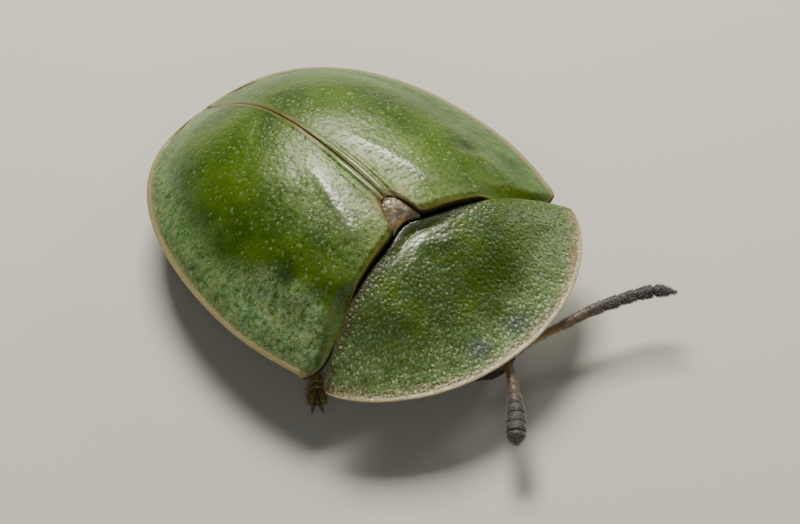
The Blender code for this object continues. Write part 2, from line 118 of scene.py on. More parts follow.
# Numbers and seeded unevenness

LATTICE = 256
LATTICE_SHIFT = 512.0


def clamp01(value):
    return np.clip(value, 0.0, 1.0)


def smooth(value):
    u = clamp01(value)
    return u * u * (3 - 2 * u)


def rise(value, low, high):
    """Runs softly from 0 at low to 1 at high, or the other way where high is lower."""
    return smooth((value - low) / (high - low))


def mix(a, b, u):
    return a + (b - a) * u


def hump(value, width):
    """One at zero, fading on both sides."""
    return np.exp(-(np.asarray(value) / width) ** 2)


def blot(x, y, place, width, squash=(1.0, 1.0)):
    """One at a place, fading all round it, narrower along X or Y where its squash is over 1."""
    return hump(np.hypot((x - place[0]) * squash[0], (y - place[1]) * squash[1]), width)


def swells(x, y, places):
    """Swellings and dents, each given as X, Y, height and width."""
    return sum(height * blot(x, y, (px, py), width) for px, py, height, width in places)


def ripple(x, y, size, seed):
    """Smooth unevenness between -1 and 1 with lumps of the given size."""
    table = np.random.default_rng(seed).uniform(-1, 1, (LATTICE, LATTICE))
    u, v = x / size + LATTICE_SHIFT, y / size + LATTICE_SHIFT
    i, j = np.floor(u).astype(int), np.floor(v).astype(int)
    across, along = smooth(u - i), smooth(v - j)
    near = mix(table[i % LATTICE, j % LATTICE], table[(i + 1) % LATTICE, j % LATTICE], across)
    far = mix(table[i % LATTICE, (j + 1) % LATTICE],
              table[(i + 1) % LATTICE, (j + 1) % LATTICE], across)
    return mix(near, far, along)


def scattered(x, y, spacing, seed):
    """Distance to the nearest of many scattered points, and that point's own random number."""
    rng = np.random.default_rng(seed)
    jitter = rng.uniform(0.08, 0.92, (LATTICE, LATTICE, 2))
    number = rng.random((LATTICE, LATTICE))
    u, v = x / spacing + LATTICE_SHIFT, y / spacing + LATTICE_SHIFT
    i, j = np.floor(u).astype(int), np.floor(v).astype(int)
    best, own = np.full(u.shape, 9.0), np.zeros(u.shape)
    for di in (-1, 0, 1):
        for dj in (-1, 0, 1):
            a, b = (i + di) % LATTICE, (j + dj) % LATTICE
            away = np.hypot(i + di + jitter[a, b, 0] - u, j + dj + jitter[a, b, 1] - v)
            near = away < best
            best, own = np.where(near, away, best), np.where(near, number[a, b], own)
    return best * spacing, own


def dimples(x, y, spacing, radius, seed):
    """Round pits, one deep in the middle and nothing outside them, of uneven size."""
    away, own = scattered(x, y, spacing, seed)
    reach = radius * (0.7 + 0.6 * own)
    return clamp01(1 - (away / reach) ** 2) ** 1.5 * (0.6 + 0.6 * own)


def search_tree(points):
    tree = KDTree(len(points))
    for number, point in enumerate(points):
        tree.insert(point, number)
    tree.balance()
    return tree


def walked_along(line):
    """How far along a line each of its points lies."""
    return np.concatenate([[0], np.cumsum(np.linalg.norm(np.diff(line, axis=0), axis=1))])


def evenly_along(line, count):
    """Evenly spaced points along a line."""
    walked = walked_along(line)
    even = np.linspace(0, walked[-1], count)
    return np.stack([np.interp(even, walked, column) for column in line.T], 1)


def nearest_on_line(x, y, line):
    """Distance in plan from each point to a line of close points, and how far along it lies."""
    tree = search_tree([(px, py, 0.0) for px, py in line])
    found = [tree.find((px, py, 0.0))[1:] for px, py in zip(x.ravel(), y.ravel())]
    number, away = (np.array(column).reshape(x.shape) for column in zip(*found))
    return away, walked_along(line)[number]


# Materials

class Value:
    """A number that changes over a surface. Each sign, such as + or *, adds a Math node."""

    def __init__(self, finish, socket):
        self.finish, self.socket = finish, socket

    def math(self, operation, first, second):
        return self.finish.node("Math", {"operation": operation}, {0: first, 1: second})

    def __add__(self, other):
        return self.math("ADD", self, other)

    def __sub__(self, other):
        return self.math("SUBTRACT", self, other)

    def __mul__(self, other):
        return self.math("MULTIPLY", self, other)

    def rise(self, low, high):
        """Runs softly from 0 at low to 1 at high, or the other way where high is lower."""
        flip = high < low
        ends = {"From Min": min(low, high), "From Max": max(low, high),
                "To Min": float(flip), "To Max": float(not flip)}
        settings = {"interpolation_type": "SMOOTHSTEP", "clamp": True}
        return self.finish.node("MapRange", settings, {"Value": self, **ends})


class Finish:
    """One material, with the nodes that change it over the surface."""

    def __init__(self, name, **fixed):
        self.material = bpy.data.materials.new(name)
        self.material.use_nodes = True
        self.tree = self.material.node_tree
        self.shader = self.tree.nodes["Principled BSDF"]
        self.place = self.node("TexCoord", {}, {}, "Object")
        for socket, value in fixed.items():
            self.shader.inputs[socket.replace("_", " ")].default_value = value

    def node(self, kind, settings, inputs, output=0):
        made = self.tree.nodes.new("ShaderNode" + kind)
        for key, value in settings.items():
            setattr(made, key, value)
        for key, value in inputs.items():
            if isinstance(value, Value):
                self.tree.links.new(value.socket, made.inputs[key])
            elif isinstance(value, tuple):
                made.inputs[key].default_value = (*value, 1.0)
            else:
                made.inputs[key].default_value = value
        return Value(self, made.outputs[output])

    def note(self, name):
        """A number that the mesh carries at each point."""
        return self.node("Attribute", {"attribute_name": name}, {}, "Fac")

    def cloud(self, size, detail=2.0, harshness=0.5):
        """Soft noise around 0.5 with lumps of a size in millimetres."""
        inputs = {"Vector": self.place, "Scale": 1 / (size * MM), "Detail": detail,
                  "Roughness": harshness}
        return self.node("TexNoise", {"noise_dimensions": "3D"}, inputs, "Fac")

    def cells(self, size):
        """Distance to the nearest of many points, for pores and facets."""
        inputs = {"Vector": self.place, "Scale": 1 / (size * MM)}
        return self.node("TexVoronoi", {"feature": "F1"}, inputs, "Distance")

    def tint(self, share, first, second):
        """One colour turning into another."""
        settings = {"data_type": "RGBA", "blend_type": "MIX", "clamp_factor": True}
        return self.node("Mix", settings, {0: share, 6: first, 7: second}, 2)

    def layers(self, colour, *coats):
        """Lays coats over a colour, each given as its share and its own colour."""
        for share, tone in coats:
            colour = self.tint(share, colour, tone)
        return colour

    def relief(self, height, depth):
        """Fine relief whose full height is depth millimetres."""
        inputs = {"Height": height, "Distance": depth * MM, "Strength": 1.0}
        return self.node("Bump", {}, inputs, "Normal")

    def set(self, **sockets):
        for name, value in sockets.items():
            socket = self.shader.inputs[name.replace("_", " ")]
            self.tree.links.new(value.socket, socket)
        return self.material


def wing_case_finish():
    f = Finish("green_wing_case", Coat_Roughness=0.3, IOR=1.35)
    edge, base, pit, painted_brim_sheen = f.note("edge"), f.note("base"), f.note("pit"), f.note("painted_brim_sheen")
    veil, polish = f.note("veil"), f.note("polish")
    broad, middling, fine = f.cloud(1.1), f.cloud(0.3, 3.0), f.cloud(0.06, 2.0)
    mist = f.cloud(0.11, 4.0, 0.65)
    # Painted glints: pale spots in the pits, standing in for reflected light
    painted_glint_spot = pit.rise(0.3, 0.8) * fine.rise(0.3, 0.62)

    leaf, dark_leaf, young_leaf = (0.048, 0.1, 0.0008), (0.022, 0.055, 0.0003), (0.075, 0.14, 0.012)
    brim, dark_brim, rim_horn = (0.075, 0.14, 0.03), (0.03, 0.08, 0.006), (0.25, 0.21, 0.11)
    # Painted sheen: hazy and sparkling colours that stand in for light reflected from the brim
    warm_painted_sheen, cool_painted_sheen, painted_sparkle = (0.29, 0.37, 0.18), (0.225, 0.36, 0.19), (0.36, 0.46, 0.28)
    # Painted sheen near the suture, and painted glints in the pits
    painted_sheen_pale, painted_sheen_dark, painted_glint = (0.22, 0.33, 0.1), (0.07, 0.14, 0.01), (0.28, 0.38, 0.15)
    tan, pit_shade, hollow_shade = (0.24, 0.2, 0.1), (0.014, 0.035, 0.001), (0.012, 0.024, 0.004)
    deep_leaf, deep_olive = (0.045, 0.105, 0.0003), (0.07, 0.1, 0.0003)
    seam_brown, gold, joint_brown = (0.09, 0.07, 0.018), (0.13, 0.11, 0.006), (0.022, 0.015, 0.003)
    # Painted highlight colour, and the inner face's own green
    painted_highlight_white, inner_green = (0.4, 0.44, 0.32), (0.34, 0.36, 0.12)

    colour = f.layers(
        f.tint(broad.rise(0.35, 0.65), dark_leaf, leaf),
        (middling.rise(0.45, 0.8) * 0.5, young_leaf),
        (edge.rise(1.15, 0.5) * 0.85, f.tint(middling.rise(0.35, 0.7), dark_brim, brim)),
        # Painted sheen: a pale haze with sparkles over the brim, standing in for reflected light
        (mist.rise(0.28, 0.72) * painted_brim_sheen, f.tint(middling.rise(0.4, 0.62), cool_painted_sheen, warm_painted_sheen)),
        ((painted_glint_spot + fine).rise(0.66, 0.8) * painted_brim_sheen * 0.6, painted_sparkle),
        # Painted sheen: a pale veil near the suture, with darker mottling, standing in for reflected
        # light
        (mist.rise(0.34, 0.62) * veil * 0.7, painted_sheen_pale),
        (fine.rise(0.48, 0.66) * veil * 0.6, painted_sheen_dark),
        ((edge + middling * 0.1).rise(0.19, 0.07), rim_horn),
        (f.note("tan") * middling.rise(0.3, 0.6), tan),
        (pit.rise(0.02, 0.3) * 0.35, pit_shade),
        # Painted glints in the pits
        (painted_glint_spot * f.note("painted_sparkle"), painted_glint),
        (f.note("hollow"), hollow_shade),
        (f.note("deep"), f.tint(middling.rise(0.35, 0.6), deep_leaf, deep_olive)),
        (f.note("seam"), seam_brown),
        (f.note("gold"), gold),
        (base.rise(0.012, 0.0), joint_brown),
        # Painted highlight: whitened along the glossy ridge and the suture streaks
        (polish * 0.2, painted_highlight_white),
        (f.note("inner") * 0.8, inner_green))
    roughness = fine.rise(0.3, 0.7) * 0.14 + middling * 0.1 + 0.22 + veil * 0.14 - polish * 0.1
    return f.set(Base_Color=colour, Roughness=roughness,
                 Coat_Weight=veil * middling * 0.6 + polish * 0.9,
                 Normal=f.relief(f.cloud(0.035, 2.0), 0.01))


def pronotum_finish():
    f = Finish("green_pronotum", Coat_Roughness=0.25, IOR=1.38)
    edge, base, pit, painted_sparkle = f.note("edge"), f.note("base"), f.note("pit"), f.note("painted_sparkle")
    gleam = f.note("gleam")
    broad, middling, fine = f.cloud(0.8), f.cloud(0.28, 3.0), f.cloud(0.06, 2.0)
    mist = f.cloud(0.055, 4.0, 0.65)
    # Painted glints: pale spots in the pits, standing in for reflected light
    painted_glint_spot = pit.rise(0.3, 0.8) * fine.rise(0.3, 0.62)
    rim = (edge + middling * 0.4).rise(0.5, 0.24)

    leaf, dark_leaf, blue_leaf = (0.058, 0.098, 0.002), (0.03, 0.054, 0.001), (0.025, 0.08, 0.028)
    lush, brim, dark_brim = (0.028, 0.056, 0.0003), (0.1, 0.165, 0.045), (0.045, 0.095, 0.014)
    # The haze and the rim's cream dots are painted sheen and glints; the rim's horn colour is its own
    painted_sheen_haze, rim_horn, rim_painted_glint = (0.23, 0.31, 0.16), (0.2, 0.16, 0.085), (0.54, 0.48, 0.35)
    bronze, deep_olive, eye_blue = (0.045, 0.038, 0.02), (0.036, 0.055, 0.0003), (0.05, 0.07, 0.075)
    pit_shade, painted_glint, edge_line = (0.012, 0.028, 0.001), (0.38, 0.46, 0.29), (0.42, 0.35, 0.21)
    # Painted highlight colour, and the inner face's own green
    painted_highlight_white, inner_green = (0.42, 0.46, 0.38), (0.3, 0.32, 0.11)

    colour = f.layers(
        f.tint(broad.rise(0.35, 0.65), dark_leaf, leaf),
        (middling.rise(0.45, 0.75) * 0.7, blue_leaf),
        (f.note("lush"), lush),
        (edge.rise(1.2, 0.45) * 0.85, f.tint(middling.rise(0.35, 0.7), dark_brim, brim)),
        # Painted sheen: a pale haze standing in for reflected light
        (mist.rise(0.42, 0.68) * painted_sparkle, painted_sheen_haze),
        (rim * 0.85, rim_horn),
        # Painted glints: cream specks on the rim, standing in for reflected light
        (mist.rise(0.48, 0.64) * rim * 0.85, rim_painted_glint),
        ((base + middling * 0.5).rise(0.6, 0.28) * f.note("bronze"), bronze),
        # Painted shade: darker olive in the groove before the base
        (f.note("deep"), deep_olive),
        (f.note("eye_patch") * 0.85, eye_blue),
        (pit.rise(0.02, 0.3) * 0.4, pit_shade),
        # Painted glints in the pits
        (painted_glint_spot * painted_sparkle, painted_glint),
        ((edge + middling * 0.03).rise(0.035, 0.012), edge_line),
        # Painted highlight: whitened along the gleaming rim and the ridge before the base
        (gleam * 0.25, painted_highlight_white),
        (f.note("inner") * 0.8, inner_green))
    roughness = fine.rise(0.3, 0.7) * 0.14 + middling * 0.1 + 0.2 - f.note("polish") * 0.1
    return f.set(Base_Color=colour, Roughness=roughness,
                 Coat_Weight=middling * 0.25 + gleam * 0.8,
                 Normal=f.relief(f.cloud(0.03, 2.0), 0.01))


def scutellum_finish():
    f = Finish("brown_scutellum", Coat_Roughness=0.2)
    middling = f.cloud(0.12, 3.0)
    brown, dark_brown = (0.25, 0.21, 0.16), (0.115, 0.09, 0.064)
    ring_brown, amber = (0.17, 0.12, 0.055), (0.4, 0.27, 0.07)
    colour = f.layers(
        f.tint(middling.rise(0.35, 0.7), dark_brown, brown),
        (f.note("ring") * 0.7, ring_brown),
        (f.note("rim") * 0.8, amber))
    return f.set(Base_Color=colour, Roughness=middling * 0.3 + 0.2, Coat_Weight=middling * 0.5,
                 Normal=f.relief(f.cloud(0.03, 2.0), 0.006))


def horn_finish(name, dark, light, grain, base_roughness):
    """Black or brown horn with pores, for the underside and the head."""
    f = Finish(name, Coat_Roughness=0.25)
    blotch, pore = f.cloud(0.5, 3.0), f.cells(grain)
    tan = (0.28, 0.2, 0.05)
    colour = f.layers(f.tint(blotch.rise(0.35, 0.7), dark, light), (f.note("tan"), tan))
    return f.set(Base_Color=colour, Roughness=blotch * 0.25 + base_roughness,
                 Coat_Weight=blotch * 0.4, Normal=f.relief(pore.rise(0.1, 0.45), 0.01))


def eye_finish():
    f = Finish("black_eye", Coat_Roughness=0.08)
    lens = f.note("lens")
    between_lenses, lens_black = (0.004, 0.003, 0.003), (0.022, 0.016, 0.014)
    return f.set(Base_Color=f.tint(lens, between_lenses, lens_black),
                 Roughness=lens * -0.12 + 0.26, Coat_Weight=lens * 0.6)


def feeler_finish():
    f = Finish("feeler_horn", Coat_Roughness=0.3)
    along, blotch = f.note("along"), f.cloud(0.12, 3.0)
    reach = along + (blotch - 0.5) * 0.14
    amber, russet, top_side_grey = (0.34, 0.2, 0.02), (0.16, 0.06, 0.025), (0.12, 0.105, 0.08)
    club_black, joint_brown = (0.035, 0.029, 0.032), (0.04, 0.025, 0.015)
    colour = f.layers(
        f.tint(reach.rise(0.2, 0.45), amber, russet),
        # Greyer along the top side of each joint
        (f.note("top").rise(0.1, 0.9) * 0.7, top_side_grey),
        (reach.rise(0.4, 0.66), club_black),
        (f.note("joint") * 0.08, joint_brown))
    roughness = along.rise(0.3, 0.7) * 0.25 + blotch * 0.15 + 0.25
    return f.set(Base_Color=colour, Roughness=roughness,
                 Normal=f.relief(f.cells(0.03).rise(0.1, 0.5), 0.006))


def leg_finish():
    """Horn whose tone follows the leg's joints, from 0 at the coxa to 7 at the claws."""
    f = Finish("leg_horn", Coat_Roughness=0.3)
    tone, blotch = f.note("tone"), f.cloud(0.2, 3.0)
    green, pale_green, coxa_black = (0.22, 0.2, 0.035), (0.32, 0.3, 0.08), (0.02, 0.016, 0.01)
    foot_brown, claw_brown = (0.15, 0.12, 0.03), (0.1, 0.055, 0.018)
    colour = f.layers(
        f.tint(blotch.rise(0.3, 0.75), green, pale_green),
        ((tone + blotch * 0.4).rise(0.5, 0.2) * 0.9, coxa_black),
        (tone.rise(2.6, 3.1), foot_brown),
        (tone.rise(5.6, 6.0), claw_brown))
    return f.set(Base_Color=colour, Roughness=blotch * 0.25 + 0.25, Coat_Weight=blotch * 0.4,
                 Normal=f.relief(f.cells(0.05).rise(0.1, 0.5), 0.006))


def hair_finish(name, root, tip):
    f = Finish(name)
    return f.set(Base_Color=f.tint(f.note("along"), root, tip),
                 Roughness=f.cloud(0.2, 1.0) * 0.2 + 0.35)


def floor_finish():
    f = Finish("pale_floor")
    cloud = f.cloud(9.0, 4.0)
    grey, light_grey = (0.44, 0.44, 0.42), (0.49, 0.487, 0.468)
    return f.set(Base_Color=f.tint(cloud, grey, light_grey), Roughness=cloud * 0.2 + 0.6)


# Meshes

BAKE_PATCH = 0.003


def body_point(points):
    """Millimetres in the beetle's frame to metres in the row frame."""
    moved = np.asarray(points, float) * MM
    moved[..., 1] += FRONT_EDGE_Y
    return moved


def link_object(name, data):
    made = bpy.data.objects.new(name, data)
    bpy.context.scene.collection.objects.link(made)
    return made


def make_piece(name, points, faces, material, replaced=(), notes=None):
    mesh = bpy.data.meshes.new(name)
    mesh.from_pydata(body_point(points).tolist(), [], faces)
    for note, values in (notes or {}).items():
        layer = mesh.attributes.new(note, "FLOAT", "POINT")
        layer.data.foreach_set("value", np.asarray(values, np.float32))
    mesh.shade_smooth()
    mesh.materials.append(material)
    piece = link_object(name, mesh)
    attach(piece, "root")
    if replaced:
        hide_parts(*replaced)
    return piece


def border(index):
    """The numbers round the edge of a grid, anticlockwise."""
    return np.concatenate([index[0, :-1], index[:-1, -1], index[-1, :0:-1], index[:0:-1, 0]])


def plate(outer, inner, lip, flip=False):
    """A closed plate: a fine outer face, a rounded lip, and a coarser inner face.

    Gives its points and faces, the outer point that each one belongs to, and a number that
    is one on the inner face."""
    rows, columns = outer.shape[:2]
    index = np.arange(rows * columns).reshape(rows, columns)
    quads = [np.stack([index[:-1, :-1], index[:-1, 1:], index[1:, 1:], index[1:, :-1]], -1)]
    ring = border(index)
    top, under = outer.reshape(-1, 3)[ring], inner.reshape(-1, 3)[ring]
    along = np.roll(top, -1, 0) - np.roll(top, 1, 0)
    outward = np.stack([along[:, 1], -along[:, 0], 0 * along[:, 0]], 1)
    outward /= np.maximum(np.linalg.norm(outward, axis=1, keepdims=True), 1e-9)
    reach = np.broadcast_to(lip, (rows, columns)).ravel()[ring][:, None]
    points, owner, total = [outer.reshape(-1, 3)], [index.ravel()], rows * columns
    previous = ring
    for turn in np.radians(LIP_TURNS):
        points.append(mix(top, under, (1 - math.cos(turn)) / 2) + outward * reach * math.sin(turn))
        owner.append(ring)
        current = total + np.arange(len(ring))
        quads.append(np.stack([previous, current, np.roll(current, -1), np.roll(previous, -1)], 1))
        previous, total = current, total + len(ring)

    rough = inner[::STRIDE, ::STRIDE]
    points.append(rough.reshape(-1, 3))
    owner.append(index[::STRIDE, ::STRIDE].ravel())
    below = total + np.arange(rough.shape[0] * rough.shape[1]).reshape(rough.shape[:2])
    quads.append(np.stack([below[:-1, :-1], below[1:, :-1], below[1:, 1:], below[:-1, 1:]], -1))
    rim = border(below)
    f0, f1, f2, f3 = (previous[k::STRIDE] for k in range(STRIDE))
    f4, c0, c1 = np.roll(f0, -1), rim, np.roll(rim, -1)
    fans = [(f0, c0, f1), (f1, c0, f2), (f2, c0, c1), (f2, c1, f3), (f3, c1, f4)]
    faces = np.concatenate([q.reshape(-1, 4) for q in quads]).tolist()
    faces += np.concatenate([np.stack(fan, 1) for fan in fans]).tolist()
    if flip:
        faces = [face[::-1] for face in faces]
    inside = np.concatenate([np.zeros(total), np.ones(below.size)])
    return np.concatenate(points), faces, np.concatenate(owner), inside


def make_plate(name, outer, inner, lip, notes, material, replaced, flip=False):
    """A closed plate whose points carry the numbers noted on its outer face."""
    points, faces, owner, inside = plate(outer, inner, lip, flip)
    carried = {note: values.ravel()[owner] for note, values in notes.items()}
    make_piece(name, points, faces, material, replaced, {**carried, "inner": inside})


class Heap:
    """Gathers the closed forms that make one piece, and the numbers their points carry."""

    def __init__(self):
        self.points, self.faces, self.notes, self.count = [], [], {}, 0

    def add(self, points, faces, **notes):
        self.points.append(points)
        self.faces += [[self.count + k for k in face] for face in faces]
        for note, value in notes.items():
            values = np.broadcast_to(np.asarray(value, float), (len(points),))
            self.notes.setdefault(note, []).append(values)
        self.count += len(points)

    def make(self, name, material, slot, replaced=()):
        notes = {note: np.concatenate(values) for note, values in self.notes.items()}
        make_piece(name, np.concatenate(self.points), self.faces, material, replaced, notes)


def tube_faces(rings, sides):
    """Faces of a tube of rings, closed by two end points that are numbered after the rings."""
    a = np.arange(rings * sides).reshape(rings, sides)
    b = np.roll(a, -1, 1)
    faces = np.stack([a[:-1], a[1:], b[1:], b[:-1]], -1).reshape(-1, 4).tolist()
    faces += [[a.size, a[0, k], b[0, k]] for k in range(sides)]
    return faces + [[a.size + 1, b[-1, k], a[-1, k]] for k in range(sides)]


class Limb:
    """A tube along a line, with its own directions along, across and up at each station."""

    def __init__(self, path, widths, sides=20):
        self.path, self.widths, self.sides = np.array(path, float), np.array(widths, float), sides
        along = np.gradient(self.path, axis=0)
        self.along = along / np.linalg.norm(along, axis=1, keepdims=True)
        across = np.cross(self.along, UP)
        self.across = across / np.linalg.norm(across, axis=1, keepdims=True)
        self.lift = np.cross(self.across, self.along)

    def skin(self, station, turn):
        """A point on the skin and the direction away from it."""
        wide, high = self.widths[station, 0, None], self.widths[station, 1, None]
        c, s = np.cos(turn)[:, None], np.sin(turn)[:, None]
        out = self.across[station] * c * high + self.lift[station] * s * wide
        out /= np.maximum(np.linalg.norm(out, axis=1, keepdims=True), 1e-9)
        place = self.path[station] + self.across[station] * c * wide + self.lift[station] * s * high
        return place, out

    def mesh(self):
        stations, sides = len(self.path), self.sides
        turn = np.tile(2 * np.pi * np.arange(sides) / sides, stations)
        points, _ = self.skin(np.repeat(np.arange(stations), sides), turn)
        return np.concatenate([points, self.path[[0, -1]]]), tube_faces(stations, sides)


def swept(profile, steps):
    """Softly joins the listed (place, width, height) stations, with rounded ends."""
    places, wide, high = (np.array(column, float) for column in zip(*profile))
    u = np.sin(np.linspace(0, 1, steps) * np.pi - np.pi / 2) * 0.5 + 0.5
    k = np.clip(np.searchsorted(places, u, side="right") - 1, 0, len(places) - 2)
    share = smooth((u - places[k]) / (places[k + 1] - places[k]))
    ends = np.maximum(1 - np.abs(2 * u - 1) ** 14, 0.0) ** 0.5 + 0.02
    widths = [mix(half[k], half[k + 1], share) * ends for half in (wide, high)]
    return u, np.stack(widths, 1)


def joint(start, end, profile, steps=22, bow=(0.0, 0.0, 0.0), sides=20):
    """One joint of a limb between two points, bowed to one side."""
    u, widths = swept(profile, steps)
    start, end = np.array(start, float), np.array(end, float)
    path = start + (end - start) * u[:, None] + np.array(bow) * (4 * u * (1 - u))[:, None]
    return Limb(path, widths, sides)


def make_hairs(name, roots, directions, lengths, radius, bends, patches, material):
    """Fine tapered hairs, each a closed bent cone, with a bake patch at its root's place."""
    count = len(roots)
    side = np.cross(directions, (0.31, 0.2, 0.93))
    side /= np.linalg.norm(side, axis=1, keepdims=True)
    other = np.cross(directions, side)
    middle = roots + directions * lengths[:, None] * 0.55 + bends * 0.25
    tip = roots + directions * lengths[:, None] + bends
    points = np.zeros((count, 7, 3))
    for k in range(3):
        turn = 2 * np.pi * k / 3
        out = side * math.cos(turn) + other * math.sin(turn)
        points[:, k] = roots - directions * radius + out * radius
        points[:, 3 + k] = middle + out * radius * 0.7
    points[:, 6] = tip
    pattern = [(2, 1, 0)]
    for k in range(3):
        n = (k + 1) % 3
        pattern += [(k, n, 3 + n), (k, 3 + n, 3 + k), (3 + k, 3 + n, 6)]
    faces = (np.array(pattern)[None] + 7 * np.arange(count)[:, None, None]).reshape(-1, 3)
    along = np.tile([0, 0, 0, 0.5, 0.5, 0.5, 1.0], count)
    piece = make_piece(name, points.reshape(-1, 3), faces.tolist(), material,
                       notes={"along": along})
    corners = np.array([(0, 0), (1, 0), (0.5, 1), (0, 0.5), (1, 0.5), (0.5, 0.7), (0.5, 0.9)])
    spots = (patches[:, None] + (corners[None] - 0.5) * BAKE_PATCH).reshape(-1, 2)
    layer = piece.data.uv_layers.new(name="OFBake")
    loops = np.zeros(len(piece.data.loops), int)
    piece.data.loops.foreach_get("vertex_index", loops)
    layer.data.foreach_set("uv", spots[loops].astype(np.float32).ravel())


# Outline and height of the shell

def shell_half_width(y):
    ahead = clamp01((y - SHOULDER_Y) / (WIDEST_Y - SHOULDER_Y))
    behind = clamp01((y - WIDEST_Y) / (SHELL_LENGTH - WIDEST_Y))
    front = mix(SHOULDER_X, SHELL_HALF_WIDTH, np.sin(ahead * np.pi / 2))
    rear = SHELL_HALF_WIDTH * (1 - behind ** REAR_ROUNDING_ALONG) ** (1 / REAR_ROUNDING_ACROSS)
    return np.where(y < WIDEST_Y, front, rear)


def pronotum_front(x):
    u = clamp01(np.abs(x) / PRONOTUM_HALF_WIDTH)
    inner = (1 - u ** PRONOTUM_ROUNDING_ACROSS) ** (1 / PRONOTUM_ROUNDING_ALONG)
    return PRONOTUM_SIDE_LENGTH * (1 - inner)


def base_line(x):
    """The joint between the pronotum and the wing cases, with its lobe at the scutellum."""
    return BASE_MIDDLE_Y - BASE_SWEEP * x * x + BASE_LOBE * hump(x, BASE_LOBE_HALF_WIDTH)


def pronotum_base(x):
    return base_line(x) - JOINT_GAP / 2


def beside_scutellum(x):
    """The wing case's edge along the rounded side of the scutellum."""
    fall = (SCUTELLUM_TIP_Y - base_line(x)) * (np.abs(x) / SCUTELLUM_HALF_WIDTH) ** SCUTELLUM_ROUNDING
    return SCUTELLUM_TIP_Y + JOINT_GAP - fall


def wing_case_base(x):
    beside_joint = base_line(x) + JOINT_GAP / 2 + SHOULDER_NOTCH * (x / SHOULDER_X) ** 8
    return np.maximum(beside_joint, beside_scutellum(x))


def wing_case_height(x, y):
    back = clamp01((y - DOME_Y) / (SHELL_LENGTH - DOME_Y))
    rear = (DOME_RISE + TIP_DROP) * (1 - back ** DOME_REAR_SQUARENESS) ** DOME_REAR_FLARE - TIP_DROP
    crest = np.where(y < DOME_Y, DOME_RISE - DOME_FRONT_FALL * (DOME_Y - y) ** 2, rear)
    edge = -TIP_DROP * clamp01((y - WIDEST_Y) / (SHELL_LENGTH - WIDEST_Y)) ** 3
    out = clamp01(np.abs(x) / np.maximum(shell_half_width(y), 0.001))
    side = (1 - out ** DOME_SIDE_SQUARENESS) ** DOME_SIDE_FLARE
    return EDGE_HEIGHT + edge + (crest - edge) * side


def pronotum_height(x, y):
    out = clamp01(np.abs(x) / PRONOTUM_HALF_WIDTH)
    base_rise = mix(PRONOTUM_CORNER_RISE, PRONOTUM_RISE, 1 - out ** PRONOTUM_SIDE_SQUARENESS)
    front = pronotum_front(x)
    u = clamp01((y - front) / (pronotum_base(x) - front))
    return EDGE_HEIGHT + base_rise * mix(smooth(u), u, PRONOTUM_BRIM_SLOPE)


# Wing cases

WING_CASE_ROWS = 480
WING_CASE_COLUMNS = 232
WING_CASE_END = 0.992
MARGIN_POINTS = 1600
SUTURE_BEAD_X = 0.065
RIDGE_LINE_Y = (3.32, 3.67, 4.66, 5.3)
RIDGE_LINE_X = (0.95, 0.89, 0.62, 0.5)
WING_CASE_SWELLS = (
    (2.35, 3.35, 0.04, 0.25), (2.3, 3.78, -0.06, 0.2), (2.12, 2.98, -0.06, 0.22),
    (1.45, 3.3, -0.03, 0.25), (1.4, 4.6, -0.02, 0.4), (1.0, 6.2, -0.015, 0.5),
)

# Seeds and the share of tan, painted brim sheen and deep olive on the left case, 1, and the right, -1
WING_CASE_SEEDS = {1: 11, -1: 29}
TAN_SHARE = {1: 0.6, -1: 0.0}
PAINTED_BRIM_SHEEN_SHARE = {1: 0.15, -1: 1.0}
DEEP_SHARE = {1: 0.9, -1: 0.6}


def wing_case_margin(count):
    """Evenly spaced points along the free edge, from the shoulder to the tip."""
    y = np.linspace(SHOULDER_Y, WIDEST_Y, MARGIN_POINTS // 4)
    turn = np.linspace(0, WING_CASE_END * np.pi / 2, MARGIN_POINTS)[1:]
    rear_x = SHELL_HALF_WIDTH * np.cos(turn) ** (2 / REAR_ROUNDING_ACROSS)
    rear_y = mix(WIDEST_Y, SHELL_LENGTH, np.sin(turn) ** (2 / REAR_ROUNDING_ALONG))
    x = np.concatenate([shell_half_width(y - 1e-9), rear_x])
    y = np.concatenate([y, rear_y])
    return evenly_along(np.stack([x, y], 1), count)


def wing_case_plan():
    """X and Y of a grid from the suture to the free edge and from the base to the tip."""
    s = np.linspace(0, 1, WING_CASE_COLUMNS + 1)[None]
    v = np.linspace(0, 1, WING_CASE_ROWS + 1)[:, None]
    edge_x, edge_y = wing_case_margin(WING_CASE_ROWS + 1).T[:, :, None]
    front_y = beside_scutellum(SUTURE_X)
    suture_y = mix(front_y, edge_y[-1], v)
    x = mix(SUTURE_X, edge_x, s)
    y = mix(suture_y, edge_y, s)
    base_x = mix(SUTURE_X, SHOULDER_X, s)
    base_y = wing_case_base(base_x)
    base_y[0, -1] = SHOULDER_Y
    return x, y + (base_y - mix(front_y, SHOULDER_Y, s)) * (1 - v) ** 2


def shoulder_reach(x):
    """How far the smooth hollow behind the shoulder reaches, tapering to the corner."""
    return mix(1.0, 0.3, rise(x, 2.1, 3.0))


